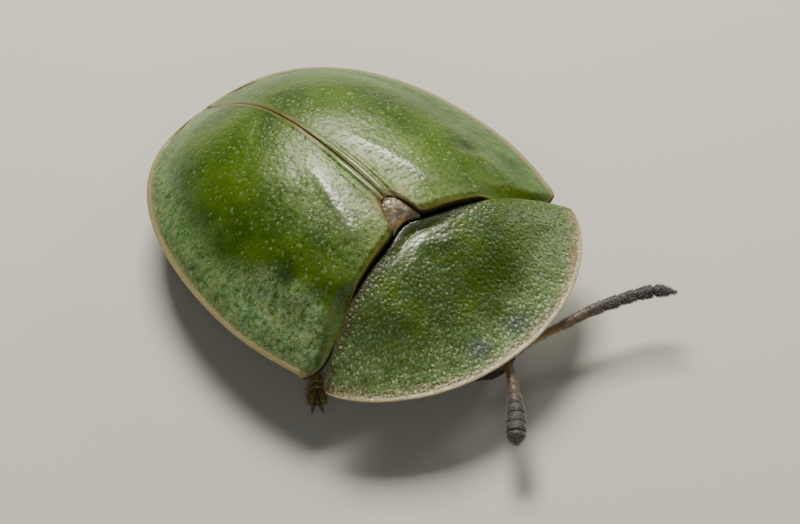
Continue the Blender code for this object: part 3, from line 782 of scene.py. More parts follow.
def wing_case_relief(x, y, edge, along, base, seed):
    """Raised and sunken forms on one wing case, with its pits and its glossy ridge."""
    out = clamp01(x / np.maximum(shell_half_width(y), 0.001))
    relief = 0.015 * hump(edge - 0.3, 0.15) - 0.05 * hump(out - 0.8, 0.08) * rise(y, 2.6, 3.4)
    relief += 0.01 * hump(edge - 0.02, 0.03) - 0.004 * hump(edge - 0.075, 0.03)

    bead = SUTURE_BEAD_X + 0.02 * hump(y - 4.3, 0.6)
    relief += mix(0.022, 0.008, rise(y, 4.7, 5.6)) * hump(x - bead, 0.045)
    relief -= 0.016 * hump(x - bead - 0.085, 0.03) * hump(y - 4.0, 1.2)
    relief += 0.012 * hump(x - bead - 0.15, 0.04) * hump(y - 4.1, 0.9)

    ridge = hump(x - np.interp(y, RIDGE_LINE_Y, RIDGE_LINE_X), 0.14)
    ridge *= rise(y, 3.1, 3.4) * rise(y, 5.3, 4.6)
    relief += 0.032 * ridge - 0.02 * hump(x - 0.42, 0.15) * hump(y - 4.0, 0.6)
    relief += swells(x, y, WING_CASE_SWELLS)

    step = wing_case_height(x, y) - pronotum_height(x, pronotum_base(x))
    shoulder = rise(x, 1.5, 2.0)
    roll = mix(0.3 * np.maximum(step, 0.0) + 0.19 * shoulder, 0.04, rise(x, 0.46, 0.34))
    roll *= mix(0.35, 1.0, smooth(edge / 0.4))
    relief -= roll * (1 - smooth(base / mix(0.14, 0.6 * shoulder_reach(x), shoulder))) ** 2
    relief += 0.01 * hump(base - 0.025, 0.022)

    calm = rise(x - bead, 0.02, 0.08) * rise(base - 0.1 * shoulder, 0.04, 0.1)
    calm *= rise(edge, 0.07, 0.12)
    relief += 0.01 * ripple(x, y, 0.6, seed) + 0.005 * ripple(x, y, 0.26, seed + 1)
    relief += calm * 0.004 * ripple(x, y, 0.09, seed + 2)
    rows = rise(edge, 0.95, 0.65) * rise(y, 3.0, 3.6)
    loose = dimples(x, y, 0.125, 0.048, seed + 3)
    pit = mix(loose, dimples(along, edge, 0.115, 0.046, seed + 4), rows) * calm
    return relief - mix(0.006, 0.007, rows) * pit, pit, ridge


def wing_case_notes(side, x, y, edge, base, pit, ridge, seed):
    """Where the wing case's colours, painted sheen and gloss change, by the names its finish reads.
    """
    blotch = ripple(x, y, 0.12, seed + 5)
    seam = rise(x - 0.03 * blotch, 0.1, 0.05) * mix(0.45, 0.85, rise(y, 4.3, 5.8))
    beside = 0.85 * rise(base - 0.03 * blotch, 0.09, 0.03) * rise(x, 0.5, 0.4)
    olive = 0.3 * rise(base - 0.1 * blotch, 0.26, 0.06) * hump(x - 0.75, 0.55)
    line = rise(base, 0.055, 0.025) * mix(0.45, 1.0, hump(x - 0.6, 0.8))
    tan = 0.7 * blot(x, y, (0.2, 3.45), 0.35, (1.0, 0.8))
    tan += TAN_SHARE[side] * blot(x, y, (0.24, 4.6), 0.16, (1.0, 0.4))
    # Near the middle: where the painted veil of reflected light lies and the painted glints are
    # stronger
    near_middle = hump(x - 0.5, 0.8) * rise(y, 6.3, 4.8)
    # Share of painted glints in the pits, more near the middle and less near the free edge
    painted_sparkle = 0.4 + 0.3 * near_middle - 0.2 * rise(edge, 1.0, 0.6)
    front = rise(y, 5.4, 3.8)
    # Where the painted sheen lies on the brim, wider and stronger towards the front
    painted_brim_sheen = smooth((mix(0.8, 1.35, front) - edge) / 0.45) * mix(0.5, 0.85, front)
    reach = 0.5 * shoulder_reach(x) + 0.03 * blotch
    deep = smooth((reach - base) / 0.14) * rise(x, 1.7, 2.2) * rise(edge, 0.05, 0.15)
    streaks = hump(x - SUTURE_BEAD_X, 0.04) * rise(y, 3.5, 3.7) * rise(y, 4.9, 4.5)
    # The ridge and the suture streaks are glossier, and are also whitened there as a painted
    # highlight
    polish = np.maximum(ridge, streaks)
    return {"edge": edge, "base": base, "pit": pit, "polish": polish,
            "seam": np.maximum(seam, beside), "tan": tan,
            "gold": np.maximum(line, olive) * rise(x, 0.35, 0.5),
            "painted_sparkle": painted_sparkle * (0.75 + 0.5 * blotch), "painted_brim_sheen": painted_brim_sheen * PAINTED_BRIM_SHEEN_SHARE[side],
            "hollow": 0.75 * blot(x, y, (2.28, 3.78), 0.17, (1.0, 0.9)),
            "deep": deep * DEEP_SHARE[side], "veil": near_middle * (1 - polish)}


def build_shell_plate(name, node, material, x, y, height, relief, lip, notes, keel=0.0):
    """A plate of the shell on a grid, thinner towards its free edge, with a keel underneath."""
    thickness = mix(MARGIN_THICKNESS, PLATE_THICKNESS, smooth(notes["edge"] / MARGIN_DEPTH))
    outer = np.stack([x, y, height + relief], -1)
    inner = np.stack([x, y, np.minimum(height, height + relief) - thickness - keel], -1)
    make_plate(name, outer, inner, lip, notes, material, (node,))


def build_wing_case(side_name, side, material):
    name, node, seed = f"wing_case_{side_name}", f"elytron_{side_name}", WING_CASE_SEEDS[side]
    x, y = wing_case_plan()
    edge, along = nearest_on_line(x, y, wing_case_margin(MARGIN_POINTS))
    slant = np.where(beside_scutellum(x) > base_line(x), 0.5, 0.95)
    base = np.maximum(y - wing_case_base(np.minimum(x, SHOULDER_X)), 0.0) * slant
    relief, pit, ridge = wing_case_relief(x, y, edge, along, base, seed)
    notes = wing_case_notes(side, x, y, edge, base, pit, ridge, seed)
    keel = 0.12 * hump(edge - 1.0, 0.1) * rise(y, 2.9, 3.4)
    lip = np.full(x.shape, LIP_RADIUS)
    lip[:, 0] = SUTURE_LIP
    lip[0] = SUTURE_LIP
    grids = (side * x, y, wing_case_height(x, y), relief, lip, keel)
    x, y, height, relief, lip, keel = (grid[:, ::side] for grid in grids)
    notes = {note: values[:, ::side] for note, values in notes.items()}
    build_shell_plate(name, node, material, x, y, height, relief, lip, notes, keel)


# Pronotum and scutellum

PRONOTUM_ROWS = 208
PRONOTUM_COLUMNS = 600
PRONOTUM_END = 0.9995
FRONT_EDGE_POINTS = 2400
PRONOTUM_SEED = 71
EYE_PATCH = (0.47, 0.5)
PRONOTUM_SWELLS = (
    (-1.35, 1.75, 0.03, 0.3), (1.6, 2.1, 0.03, 0.4), (-0.7, 1.35, -0.025, 0.35),
    (0.75, 1.35, -0.03, 0.4), (-2.2, 1.55, -0.02, 0.3), (2.0, 1.45, -0.03, 0.3),
)


def pronotum_relief(x, y, edge, along, base, seed):
    """Raised and sunken forms on the pronotum, with its pits, its gloss and its deep groove."""
    middle = hump(x - 0.05, 0.55)
    wander = 0.05 * ripple(x, y, 0.5, seed)
    groove = hump(base - 0.2, 0.08) * middle
    rim = hump(base - 0.06, 0.05) * hump(x - 0.15, 0.45)
    relief = 0.006 * hump(edge - 0.015, 0.025) + 0.045 * rim - 0.01 * hump(base, 0.02)
    relief += 0.03 * hump(base - 0.55 - wander, 0.13) * middle - 0.055 * groove
    relief += swells(x, y, PRONOTUM_SWELLS)
    calm = rise(edge, 0.05, 0.09) * rise(base, 0.02, 0.07)
    relief += 0.008 * ripple(x, y, 0.45, seed + 1) + 0.004 * ripple(x, y, 0.2, seed + 2)
    relief += calm * 0.003 * ripple(x, y, 0.06, seed + 3)
    corner_y = PRONOTUM_SIDE_LENGTH
    rows = rise(edge, 1.1, 0.7) * rise(y, corner_y + 0.1, corner_y - 0.05)
    loose = dimples(x, y, 0.09, 0.036, seed + 4)
    pit = mix(loose, dimples(along, edge, 0.098, 0.042, seed + 5), rows) * calm
    streak = np.minimum(rim + middle * hump(base - 0.42 - wander, 0.1), 1.0)
    return relief - 0.011 * pit, pit, streak, groove


def pronotum_notes(x, y, edge, base, pit, streak, groove, seed):
    """Where the pronotum's colours, painted sheen and shade, and gloss change, by the names its
    finish reads.
    """
    lush = blot(x, y, (0.75, 1.4), 0.6, (1.0, 1.2))
    side_base = blot(x, y, (1.75, 2.2), 0.7, (1.0, 1.2))
    # Share of painted haze and glints, more towards the edge, less on the lush patch and the base's
    # side
    painted_sparkle = mix(0.32, 0.75, rise(edge, 1.1, 0.6)) * (1 - 0.85 * lush) * (1 - 0.6 * side_base)
    # The deep note is painted shade in the groove before the base
    return {"edge": edge, "base": base, "pit": pit, "gleam": streak, "deep": 0.95 * groove,
            "eye_patch": blot(np.abs(x), y, EYE_PATCH, 0.2, (0.75, 1.1)), "lush": 0.9 * lush,
            "bronze": 0.8 * rise(x, 1.7, 1.0),
            "painted_sparkle": painted_sparkle * (0.75 + 0.5 * ripple(x, y, 0.14, seed)),
            "polish": np.maximum.reduce([streak, 0.8 * lush, groove])}


def build_pronotum(material):
    end = math.asin(PRONOTUM_END ** (PRONOTUM_ROUNDING_ACROSS / 2))

    def across(count):
        """X at evenly turned stations along the front edge."""
        turn = np.linspace(-end, end, count)
        reach = np.abs(np.sin(turn)) ** (2 / PRONOTUM_ROUNDING_ACROSS)
        return np.copysign(PRONOTUM_HALF_WIDTH * reach, turn)

    x = across(PRONOTUM_COLUMNS + 1)[None]
    v = np.linspace(0, 1, PRONOTUM_ROWS + 1)[:, None]
    y = mix(pronotum_front(x), pronotum_base(x), v)
    x = np.broadcast_to(x, y.shape)
    line_x = across(FRONT_EDGE_POINTS)
    edge, along = nearest_on_line(x, y, np.stack([line_x, pronotum_front(line_x)], 1))
    base = (pronotum_base(x) - y) * 0.95
    relief, *forms = pronotum_relief(x, y, edge, along, base, PRONOTUM_SEED)
    lip = np.full(x.shape, LIP_RADIUS)
    lip[-1] = SUTURE_LIP
    notes = pronotum_notes(x, y, edge, base, *forms, PRONOTUM_SEED + 5)
    build_shell_plate("pronotum_shield", "pronotum", material, x, y,
                      pronotum_height(x, y), relief, lip, notes)


SCUTELLUM_ROWS = 48
SCUTELLUM_COLUMNS = 64
SCUTELLUM_LIP = 0.012
SCUTELLUM_SEED = 91
SCUTELLUM_HEIGHTS = (2.61, 2.875)


def build_scutellum(material):
    v = np.linspace(0, 1, SCUTELLUM_ROWS + 1)[:, None]
    s = np.linspace(-1, 1, SCUTELLUM_COLUMNS + 1)[None]
    half = np.maximum(SCUTELLUM_HALF_WIDTH * (1 - v) ** (1 / SCUTELLUM_ROUNDING), SCUTELLUM_LIP)
    x = half * s
    front = base_line(x) + JOINT_GAP / 2
    y = front + (SCUTELLUM_TIP_Y - front) * v
    swell = 0.045 * (1 - s ** 2) * np.sin(np.pi * np.minimum(v + 0.12, 1.0)) ** 0.7
    height = mix(*SCUTELLUM_HEIGHTS, v ** 0.75) - 0.015 * s ** 4 + swell
    grain = 0.009 * ripple(x, y, 0.08, SCUTELLUM_SEED)
    grain -= 0.01 * dimples(x, y, 0.09, 0.035, SCUTELLUM_SEED + 1)
    outer = np.stack([x, y, height + grain], -1)
    inner = outer - np.array([0, 0, PLATE_THICKNESS])
    notes = {"rim": rise(v, 0.09, 0.03) * rise(np.abs(s + 0.2), 0.5, 0.25),
             "ring": np.maximum(rise(np.abs(s), 0.45, 0.85), rise(v, 0.6, 0.9))}
    make_plate("scutellum_plate", outer, inner, SCUTELLUM_LIP, notes, material,
               ("scutellum",))


# Trunk

TRUNK_FRONT_Y = 1.3
TRUNK_REAR_Y = 8.25
TRUNK_HALF_WIDTH = 2.25
SUTURES = (2.62, 3.25, 5.0, 6.0, 6.55, 7.05, 7.5)
COXAE = ((0.66, 2.28), (0.78, 3.4), (0.78, 4.62))
TRUNK_ROWS = 300
TRUNK_COLUMNS = 160
TRUNK_LIP = 0.05
TRUNK_HAIRS = 3600
TRUNK_HAIR_RADIUS = 0.0045
TRUNK_SEED = 33
TRUNK_HAIR_SEED = 51


def trunk_half_width(y):
    behind = clamp01((y - 4.6) / (TRUNK_REAR_Y - 4.6))
    ahead = smooth((y - TRUNK_FRONT_Y) / 1.9)
    return mix(0.8, TRUNK_HALF_WIDTH, ahead) * (1 - (0.985 * behind) ** 2.6) ** 0.5


def build_underside(material):
    """Breast and belly as one body, with their plates engraved and the leg sockets sunk in."""
    v = np.linspace(0, 1, TRUNK_ROWS + 1)[:, None]
    s = np.sin(np.linspace(-1, 1, TRUNK_COLUMNS + 1) * np.pi / 2)[None]
    y = mix(TRUNK_FRONT_Y, TRUNK_REAR_Y, v) + 0 * s
    half = trunk_half_width(y)
    x = half * s
    sweep = y + 0.12 * (1 - s ** 2) * rise(y, 5.0, 5.5)
    height = 0.84 + 0.22 * np.abs(s) ** 3 + 0.1 * rise(y, 7.0, 8.2)
    height -= 0.3 * rise(y, TRUNK_FRONT_Y + 0.7, TRUNK_FRONT_Y) * (1 - s ** 2)
    groove = np.zeros_like(y)
    for place in SUTURES:
        lap = sweep - place
        groove += 0.045 * hump(lap, 0.025)
        height += np.where(lap < 0, -0.03 * np.exp(lap / 0.18), 0.0) * (place > 4.9)
    groove += 0.03 * hump(x, 0.02) * rise(y, 3.3, 3.4) * rise(y, 5.0, 4.9)
    for px, py in COXAE:
        groove += 0.1 * smooth(1.4 - np.hypot((np.abs(x) - px) / 0.42, (y - py) / 0.34))
    pit = dimples(x, y, 0.13, 0.045, TRUNK_SEED)
    lower = height + groove + 0.012 * pit + 0.01 * ripple(x, y, 0.3, TRUNK_SEED + 1)
    shell = np.minimum(wing_case_height(x, y), pronotum_height(x, y) + np.maximum(0, y - 3.1))
    upper = np.maximum(shell - PLATE_THICKNESS - 0.2, lower + 0.12)
    outer, inner = np.stack([x, y, lower], -1), np.stack([x, y, upper], -1)
    tan = rise(np.abs(s), 0.93, 0.98) * rise(y, 5.1, 5.3) * 0.8
    make_plate("underside", outer, inner, TRUNK_LIP, {"tan": tan}, material,
               ("prothorax", "pterothorax", "abdomen"), flip=True)
    return outer


def build_underside_hairs(outer, material):
    rng = np.random.default_rng(TRUNK_HAIR_SEED)
    rows, columns = outer.shape[:2]
    count = TRUNK_HAIRS
    i, j = rng.integers(8, rows - 4, count), rng.integers(6, columns - 6, count)
    roots = outer[i, j]
    directions = np.stack([rng.normal(0, 0.15, count), 0.75 + rng.normal(0, 0.1, count),
                           -0.5 + rng.normal(0, 0.1, count)], 1)
    directions /= np.linalg.norm(directions, axis=1, keepdims=True)
    lengths = rng.uniform(0.08, 0.15, count)
    bends = np.stack([np.zeros(count), 0.2 * lengths, 0.25 * lengths], 1)
    patches = np.stack([roots[:, 0] / 8 + 0.5, roots[:, 1] / 10], 1)
    make_hairs("underside_hairs", roots, directions, lengths, TRUNK_HAIR_RADIUS, bends, patches,
               material)


# Head

HEAD_CENTRE = (0.0, 0.86, 0.62)
HEAD_HALF_SIZE = (0.53, 0.5, 0.44)
EYE_CENTRE = (0.47, 0.7, 0.7)
EYE_HALF_SIZE = (0.2, 0.27, 0.27)
EYE_LENSES = 1500
LENS_RADIUS = 0.058
LENS_RISE = 0.022
SOCKET = (0.17, 0.43, 0.78)
NECK_CENTRE = (0.0, 1.35, 0.86)
NECK_HALF_SIZE = (0.62, 0.4, 0.4)
HEAD_SEED = 12

# Radius and step of each joint of a mouth feeler, to the beetle's left
MOUTH_FEELER = (
    (0.038, (0.05, -0.08, -0.04)), (0.032, (0.02, -0.08, -0.03)), (0.026, (-0.02, -0.08, -0.01)),
)


def rounded_body(centre, half_size, squareness, rings=48, segments=72):
    """A rounded body, boxier the smaller its squareness: unit points, placed points, faces."""
    tilt = np.linspace(-np.pi / 2, np.pi / 2, rings + 1)[1:-1, None]
    turn = np.linspace(0, 2 * np.pi, segments, endpoint=False)[None]

    def power(value):
        return np.copysign(np.abs(value) ** squareness, value)

    grid = np.stack([power(np.cos(tilt)) * power(np.cos(turn)),
                     power(np.cos(tilt)) * power(np.sin(turn)),
                     power(np.sin(tilt)) + 0 * turn], -1).reshape(-1, 3)
    unit = np.concatenate([grid, [[0, 0, -1], [0, 0, 1]]])
    faces = [face[:1] + face[:0:-1] for face in tube_faces(rings - 1, segments)]
    return unit, np.array(centre) + unit * np.array(half_size), faces


def build_head(material):
    """Skull with brow groove, face plate, sockets, upper lip, jaws and feelers of the mouth."""
    heap = Heap()
    unit, points, faces = rounded_body(HEAD_CENTRE, HEAD_HALF_SIZE, 0.82, 90, 130)
    x, y, z = unit.T
    out = unit / np.linalg.norm(unit, axis=1, keepdims=True)
    face = smooth((-y - 0.35) / 0.3)
    dent = 0.03 * hump(x, 0.07) * face * smooth((z - 0.1) / 0.3)
    dent += 0.025 * hump(np.abs(x) - 0.42 + 0.25 * z, 0.05) * face * smooth((0.5 - z) / 0.3)
    dent += 0.05 * smooth(1.2 - np.hypot((np.abs(x) - 0.32) / 0.14, (z - 0.36) / 0.14)) * face
    dent -= 0.03 * hump(z + 0.1, 0.35) * hump(x, 0.3) * face
    dent += 0.01 * dimples(x, z + 2 * y, 0.16, 0.06, HEAD_SEED)
    dent += 0.006 * ripple(x + 5, z, 0.3, HEAD_SEED + 1)
    heap.add(points - out * dent[:, None], faces, tan=0.0)

    mouth_y, mouth_z = HEAD_CENTRE[1] - 0.06, HEAD_CENTRE[2] - 0.34
    _, points, faces = rounded_body((0.0, mouth_y, mouth_z + 0.02), (0.22, 0.1, 0.09), 0.75)
    heap.add(points, faces, tan=0.35)
    for side in (-1, 1):
        jaw = joint((side * 0.26, mouth_y + 0.16, mouth_z + 0.03),
                    (side * 0.04, mouth_y - 0.02, mouth_z - 0.07),
                    ((0, 0.1, 0.08), (0.5, 0.09, 0.07), (1, 0.03, 0.03)),
                    bow=(side * 0.05, -0.05, 0.0))
        heap.add(*jaw.mesh(), tan=0.2)
        start = Vector((side * 0.2, mouth_y + 0.14, mouth_z - 0.02))
        for radius, (outward, ahead, up) in MOUTH_FEELER:
            end = start + Vector((side * outward, ahead, up))
            profile = ((0, 0.025, 0.025), (0.7, radius, radius), (1, 0.025, 0.025))
            heap.add(*joint(start, end, profile, steps=14, sides=14).mesh(), tan=0.4)
            start = end
        ring = joint((side * 0.17, 0.53, 0.72), (side * 0.17, 0.42, 0.79),
                     ((0, 0.1, 0.1), (0.8, 0.095, 0.095), (1, 0.07, 0.07)), steps=14)
        heap.add(*ring.mesh(), tan=0.3)
    _, points, faces = rounded_body(NECK_CENTRE, NECK_HALF_SIZE, 0.9)
    heap.add(points, faces, tan=0.0)
    heap.make("head_capsule", material, "head", ("head",))


def build_eye(side_name, side, material):
    """A bulging eye whose lenses are raised in its surface."""
    _, points, faces = rounded_body((0, 0, 0), (1, 1, 1), 1.0, 120, 168)
    level = 1 - 2 * (np.arange(EYE_LENSES) + 0.5) / EYE_LENSES
    turn = np.arange(EYE_LENSES) * math.pi * (3 - math.sqrt(5))
    ring = np.sqrt(1 - level ** 2)
    tree = search_tree(np.stack([ring * np.cos(turn), ring * np.sin(turn), level], 1))
    away = np.array([tree.find(p)[2] for p in points])
    lens = clamp01(1 - (away / LENS_RADIUS) ** 2)
    centre = np.array((side * EYE_CENTRE[0], EYE_CENTRE[1], EYE_CENTRE[2]))
    placed = centre + points * np.array(EYE_HALF_SIZE) * (1 + LENS_RISE * lens)[:, None]
    make_piece(f"eye_{side_name}_lenses", placed, faces, material, (f"eye_{side_name}",),
               {"lens": lens})


# Feelers

FEELER_JOINTS = (0.3, 0.2, 0.3, 0.3, 0.3, 0.28, 0.32, 0.32, 0.32, 0.32, 0.46)
FEELER_WIDTHS = (0.085, 0.07, 0.07, 0.074, 0.082, 0.094, 0.112, 0.118, 0.115, 0.118, 0.112)
FEELER_SIDES = 26
LAST_FEELER_JOINT = len(FEELER_JOINTS) - 1
FEELER_HAIR_SEED = 61
CURVE_STEPS = 40
FEELERS = {
    "left": (SOCKET, (0.3, 0.33, 0.88), (0.545, 0.265, 0.94), (1.3, 0.14, 0.92),
             (2.07, -0.012, 0.9), (2.975, -0.43, 0.95), (3.31, -0.85, 1.0)),
    "right": ((-SOCKET[0], SOCKET[1], SOCKET[2]), (-0.14, 0.28, 0.92), (-0.14, 0.1, 1.0),
              (-0.36, -0.27, 0.96), (-0.67, -0.69, 0.88), (-1.21, -1.29, 0.84)),
}
FEELER_FLATNESS = {"left": (0.95, 0.9), "right": (1.5, 1.0)}


def curve_through(points, count):
    """A smooth line through a few points, with evenly spaced stations."""
    knots = [Vector(p) for p in points]
    knots = [knots[0] * 2 - knots[1]] + knots + [knots[-1] * 2 - knots[-2]]
    line = []
    for a, b, c, d in zip(knots, knots[1:], knots[2:], knots[3:]):
        for k in range(CURVE_STEPS):
            u = k / CURVE_STEPS
            line.append(0.5 * (2 * b + (c - a) * u + (2 * a - 5 * b + 4 * c - d) * u * u
                               + (3 * b - a - 3 * c + d) * u ** 3))
    return evenly_along(np.array(line + [knots[-2]]), count)


def feeler_station(number, u):
    """Half width of one joint of a feeler, as a share of its greatest: a stalk, then a flare."""
    if number == 0:
        return 0.8 + 0.2 * np.sin(np.pi * u)
    if number == LAST_FEELER_JOINT:
        return np.maximum(1 - smooth((u - 0.25) / 0.78) * 0.9, 0.1) * mix(0.72, 1, smooth(u / 0.12))
    return mix(0.9, 1.0, smooth(u / 0.7)) * (1 - 0.12 * smooth((u - 0.9) / 0.1))


def build_feeler(side_name, material, hair_material):
    line = curve_through(FEELERS[side_name], 1400)
    scale = len(line) / sum(FEELER_JOINTS)
    wide, high = FEELER_FLATNESS[side_name]
    heap, limbs, walked = Heap(), [], 0.0
    for number, (length, width) in enumerate(zip(FEELER_JOINTS, FEELER_WIDTHS)):
        u = np.linspace(0, 1, 34)
        places = np.clip((walked + length * u) * scale, 0, len(line) - 1)
        path = np.stack([np.interp(places, np.arange(len(line)), line[:, k]) for k in range(3)], 1)
        half = width * feeler_station(number, u)
        club = smooth((number - 5) / 3)
        widths = np.stack([half * mix(1, wide, club), half * mix(1, high, club)], 1)
        limb = Limb(path, widths, FEELER_SIDES)
        limbs.append((number, limb))
        share = (walked + length * u) / sum(FEELER_JOINTS)
        along = np.concatenate([np.repeat(share, FEELER_SIDES), share[[0, -1]]])
        near_end = 1 - smooth(u / 0.1) + smooth((u - 0.92) / 0.08)
        dark = np.concatenate([np.repeat(near_end, FEELER_SIDES), [1, 1]])
        around = np.sin(2 * np.pi * np.arange(FEELER_SIDES) / FEELER_SIDES)
        top = np.concatenate([np.tile(around, len(u)), [0, 0]])
        heap.add(*limb.mesh(), along=along, joint=dark, top=top)
        walked += length
    name = "feeler_" + side_name
    heap.make(name, material, "feeler", ("antenna_" + side_name,))
    build_limb_hairs(name + "_hairs", limbs, lambda number: 40 + 40 * max(0, number - 3) ** 1.2,
                     lambda number: 0.05 if number > 4 else 0.07, hair_material,
                     FEELER_HAIR_SEED)


HAIR_CLEARANCE = 0.16
LIMB_HAIR_RADIUS = 0.0042


def build_limb_hairs(name, limbs, count_for, length_for, material, seed):
    """Hairs on the joints of a limb, leaning towards its tip and less steep near the floor."""
    rng = np.random.default_rng(seed)
    roots, directions, lengths, bends, patches = [], [], [], [], []
    for order, (number, limb) in enumerate(limbs):
        count = int(count_for(number))
        station = rng.integers(2, len(limb.path) - 3, count)
        turn = rng.uniform(0, 2 * np.pi, count)
        place, out = limb.skin(station, turn)
        lean = rng.uniform(0.45, 0.95, count)[:, None]
        direction = out * (1 - 0.45 * lean) + limb.along[station] * lean
        direction[:, 2] = np.maximum(direction[:, 2], -place[:, 2] / HAIR_CLEARANCE)
        direction /= np.linalg.norm(direction, axis=1, keepdims=True)
        length = length_for(number) * rng.uniform(0.7, 1.3, count)
        roots.append(place)
        directions.append(direction)
        lengths.append(length)
        bends.append(limb.along[station] * (0.25 * length)[:, None])
        patches.append(np.stack([(order + station / len(limb.path)) / len(limbs) * 0.98 + 0.01,
                                 turn / (2 * np.pi) * 0.98 + 0.01], 1))
    parts = (roots, directions, lengths, bends, patches)
    roots, directions, lengths, bends, patches = (np.concatenate(part) for part in parts)
    make_hairs(name, roots, directions, lengths, LIMB_HAIR_RADIUS, bends, patches, material)


# Legs

# Coxa, knee, ankle and end of the pad of the left leg of each pair, as in the solids
LEGS = {
    "fore": ((0.66, 2.28, 0.62), (1.98, 2.6, 0.6), (1.52, 2.2, 0.26), (1.45, 1.58)),
    "mid": ((0.78, 3.4, 0.62), (1.98, 3.55, 0.62), (2.46, 3.0, 0.26), (2.87, 2.5)),
    "hind": ((0.78, 4.62, 0.62), (1.92, 5.42, 0.62), (2.12, 6.12, 0.26), (2.33, 6.8)),
}
PAD_HEIGHT = 0.096
LEG_HAIR_COUNTS = (20, 70, 190, 90, 110, 110, 30)
LOBE = ((0, 0.06, 0.07), (0.5, 0.11, 0.09), (1, 0.07, 0.06))
CLAW = ((0, 0.038, 0.038), (0.5, 0.026, 0.026), (1, 0.006, 0.006))

# Number, profile, start and end of each joint of the foot, the ends as spots on the foot
FOOT_JOINTS = (
    (3, ((0, 0.07, 0.08), (0.75, 0.13, 0.095), (1, 0.1, 0.07)), (-0.1, 0, 0.04), (0.28, 0, 0)),
    (4, ((0, 0.07, 0.08), (0.75, 0.15, 0.09), (1, 0.12, 0.06)), (0.2, 0, 0), (0.5, 0, 0)),
    (5, LOBE, (0.42, -0.03, 0), (0.94, -0.12, 0)),
    (5, LOBE, (0.42, 0.03, 0), (0.94, 0.12, 0)),
    (6, ((0, 0.045, 0.045), (0.8, 0.065, 0.06), (1, 0.05, 0.05)), (0.52, 0, 0.06), (1.02, 0, 0.05)),
)
LEG_HAIR_SEED = 81


def build_leg(pair, side_name, side, material, hair_material):
    mirror = np.array((side, 1, 1))
    coxa, knee, ankle = (np.array(point) * mirror for point in LEGS[pair][:3])
    toe = np.array((*LEGS[pair][3], PAD_HEIGHT)) * mirror
    name = f"leg_{pair}_{side_name}"
    heap, limbs = Heap(), []

    def add(number, limb):
        heap.add(*limb.mesh(), tone=float(number))
        limbs.append((number, limb))

    _, points, faces = rounded_body(coxa + np.array((0, 0, 0.12)), (0.34, 0.28, 0.26), 1.0)
    heap.add(points, faces, tone=0.0)
    root = coxa + (knee - coxa) * 0.16
    add(0, joint(coxa + np.array((0, 0, 0.02)), root + (knee - coxa) * 0.08,
                 ((0, 0.15, 0.15), (0.6, 0.17, 0.16), (1, 0.12, 0.12))))
    add(1, joint(root, knee, ((0, 0.11, 0.11), (0.4, 0.21, 0.19), (0.75, 0.18, 0.16),
                              (1, 0.13, 0.12)), 34, bow=(0, 0, 0.04)))
    add(2, joint(knee + (knee - ankle) * 0.04, ankle + np.array((0, 0, 0.02)),
                 ((0, 0.085, 0.085), (0.12, 0.1, 0.1), (0.75, 0.115, 0.105), (1, 0.14, 0.125)),
                 34, bow=(0, 0, 0.05)))

    heel = np.array((ankle[0], ankle[1], PAD_HEIGHT + 0.05))
    ahead = (toe - heel) / np.linalg.norm(toe - heel)
    aside = np.cross(ahead, UP)
    length = np.linalg.norm(toe - heel)

    def spot(share, sideways, height):
        """A spot on the foot: share of its length from the heel, sideways and up."""
        return heel + ahead * (length * share) + aside * sideways + np.array((0, 0, height))

    for number, profile, start, end in FOOT_JOINTS:
        add(number, joint(spot(*start), spot(*end), profile))
    for lean in (-1, 1):
        claw = joint(spot(0.98, lean * 0.03, 0.05), spot(1.22, lean * 0.12, -0.085), CLAW,
                     bow=tuple(np.array((0, 0, 0.05)) + ahead * 0.03), sides=12)
        heap.add(*claw.mesh(), tone=7.0)
    heap.make(name + "_skin", material, "leg", (name,))
    build_limb_hairs(name + "_hairs", limbs, lambda number: LEG_HAIR_COUNTS[number],
                     lambda number: 0.06 if number > 1 else 0.05, hair_material,
                     LEG_HAIR_SEED)


# Studio

FLOOR_HALF_SIDE = 600
SHELL_MIDDLE = (0.0, 3.6, 2.2)
STUDIO_AIR = (0.09, 0.09, 0.083, 1.0)

# Direction from the shell, distance, side, power and colour of each softbox
SOFTBOXES = {
    "key_softbox": ((0.38, 0.52, 0.77), 62, 28, 0.08, (1.0, 0.96, 0.8)),
    "side_softbox": ((0.9, -0.1, 0.45), 60, 13, 0.008, (1.0, 0.96, 0.84)),
    "front_fill": ((-0.5, -0.75, 0.6), 90, 40, 0.016, (1.0, 0.97, 0.88)),
}


def build_floor():
    half = FLOOR_HALF_SIDE * MM
    mesh = bpy.data.meshes.new("studio_floor")
    corners = [(-half, -half, 0), (half, -half, 0), (half, half, 0), (-half, half, 0)]
    mesh.from_pydata(corners, [], [(0, 1, 2, 3)])
    mesh.materials.append(floor_finish())
    link_object("studio_floor", mesh)


def add_light(name, direction, distance, size, power, colour):
    """A square soft light, aimed at the middle of the shell."""
    lamp = bpy.data.lights.new(name, "AREA")
    lamp.shape = "SQUARE"
    lamp.size = size * MM
    lamp.energy = power
    lamp.color = colour
    softbox = link_object(name, lamp)
    middle = Vector(body_point(SHELL_MIDDLE).tolist())
    toward = Vector(direction).normalized()
    softbox.location = middle + toward * distance * MM
    softbox.rotation_mode = "QUATERNION"
    softbox.rotation_quaternion = toward.to_track_quat("Z", "Y")
    softbox.visible_camera = False


def light_studio():
    for name, softbox in SOFTBOXES.items():
        add_light(name, *softbox)
    world = bpy.data.worlds.new("studio_air")
    world.use_nodes = True
    world.node_tree.nodes["Background"].inputs["Color"].default_value = STUDIO_AIR
    bpy.context.scene.world = world


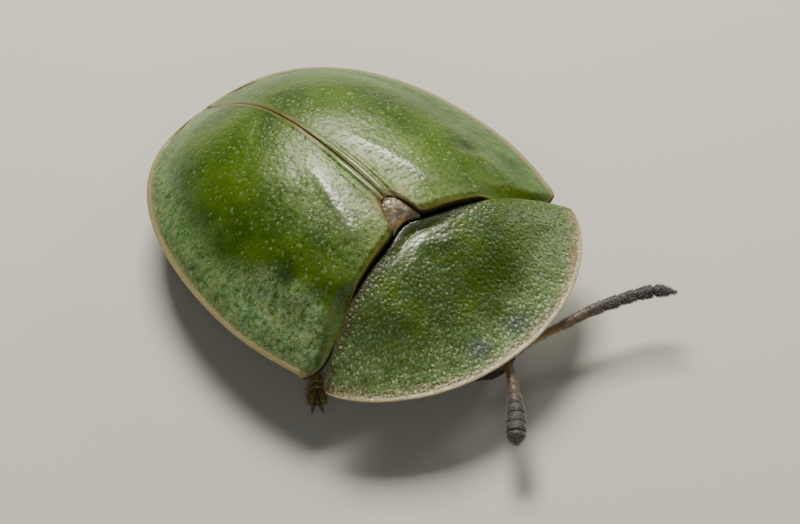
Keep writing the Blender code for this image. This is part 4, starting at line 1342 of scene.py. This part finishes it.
def add_camera():
    """A long lens at the photograph's angle, aimed so that the shell fills the same frame."""
    a, e, r = CAMERA_AZIMUTH, CAMERA_ELEVATION, CAMERA_ROLL
    level = Vector((math.cos(a), math.sin(a), 0))
    rising = Vector((-math.sin(a) * math.sin(e), math.cos(a) * math.sin(e), math.cos(e)))
    back = Vector((math.sin(a) * math.cos(e), -math.cos(a) * math.cos(e), math.sin(e)))
    right = level * math.cos(r) - rising * math.sin(r)
    up = level * math.sin(r) + rising * math.cos(r)
    aim = (CAMERA_TARGET + right * ((PHOTO_WIDTH / 2 - DOME_PIXEL[0]) / PHOTO_PIXELS_PER_MM)
           + up * ((DOME_PIXEL[1] - PHOTO_HEIGHT / 2) / PHOTO_PIXELS_PER_MM))
    data = bpy.data.cameras.new("photo_camera")
    data.sensor_width = SENSOR_WIDTH
    data.lens = SENSOR_WIDTH * PHOTO_PIXELS_PER_MM * CAMERA_DISTANCE / PHOTO_WIDTH
    data.clip_start, data.clip_end = (reach * MM for reach in CAMERA_CLIP)
    camera = link_object("photo_camera", data)
    turn = Matrix((right, up, back)).transposed().to_4x4()
    place = Vector(body_point(tuple(aim + back * CAMERA_DISTANCE)).tolist())
    camera.matrix_world = Matrix.Translation(place) @ turn
    bpy.context.scene.camera = camera


# The whole beetle

def build_beetle():
    wing_case = wing_case_finish()
    for side_name, side in SIDES.items():
        build_wing_case(side_name, side, wing_case)
    build_pronotum(pronotum_finish())
    build_scutellum(scutellum_finish())

    black = horn_finish("black_underside", (0.008, 0.007, 0.006), (0.022, 0.018, 0.014), 0.09, 0.25)
    outer = build_underside(black)
    pale_hair = hair_finish("pale_hair", (0.3, 0.26, 0.18), (0.5, 0.46, 0.36))
    build_underside_hairs(outer, pale_hair)

    build_head(horn_finish("black_head", (0.01, 0.008, 0.006), (0.03, 0.02, 0.012), 0.06, 0.22))
    eye = eye_finish()
    for side_name, side in SIDES.items():
        build_eye(side_name, side, eye)

    feeler = feeler_finish()
    down = hair_finish("feeler_down", (0.1, 0.09, 0.09), (0.42, 0.4, 0.4))
    for side_name in FEELERS:
        build_feeler(side_name, feeler, down)

    leg = leg_finish()
    leg_hair = hair_finish("leg_hair", (0.4, 0.32, 0.12), (0.62, 0.52, 0.28))
    for pair in LEGS:
        for side_name, side in SIDES.items():
            build_leg(pair, side_name, side, leg, leg_hair)


build_beetle()
build_floor()
light_studio()
add_camera()
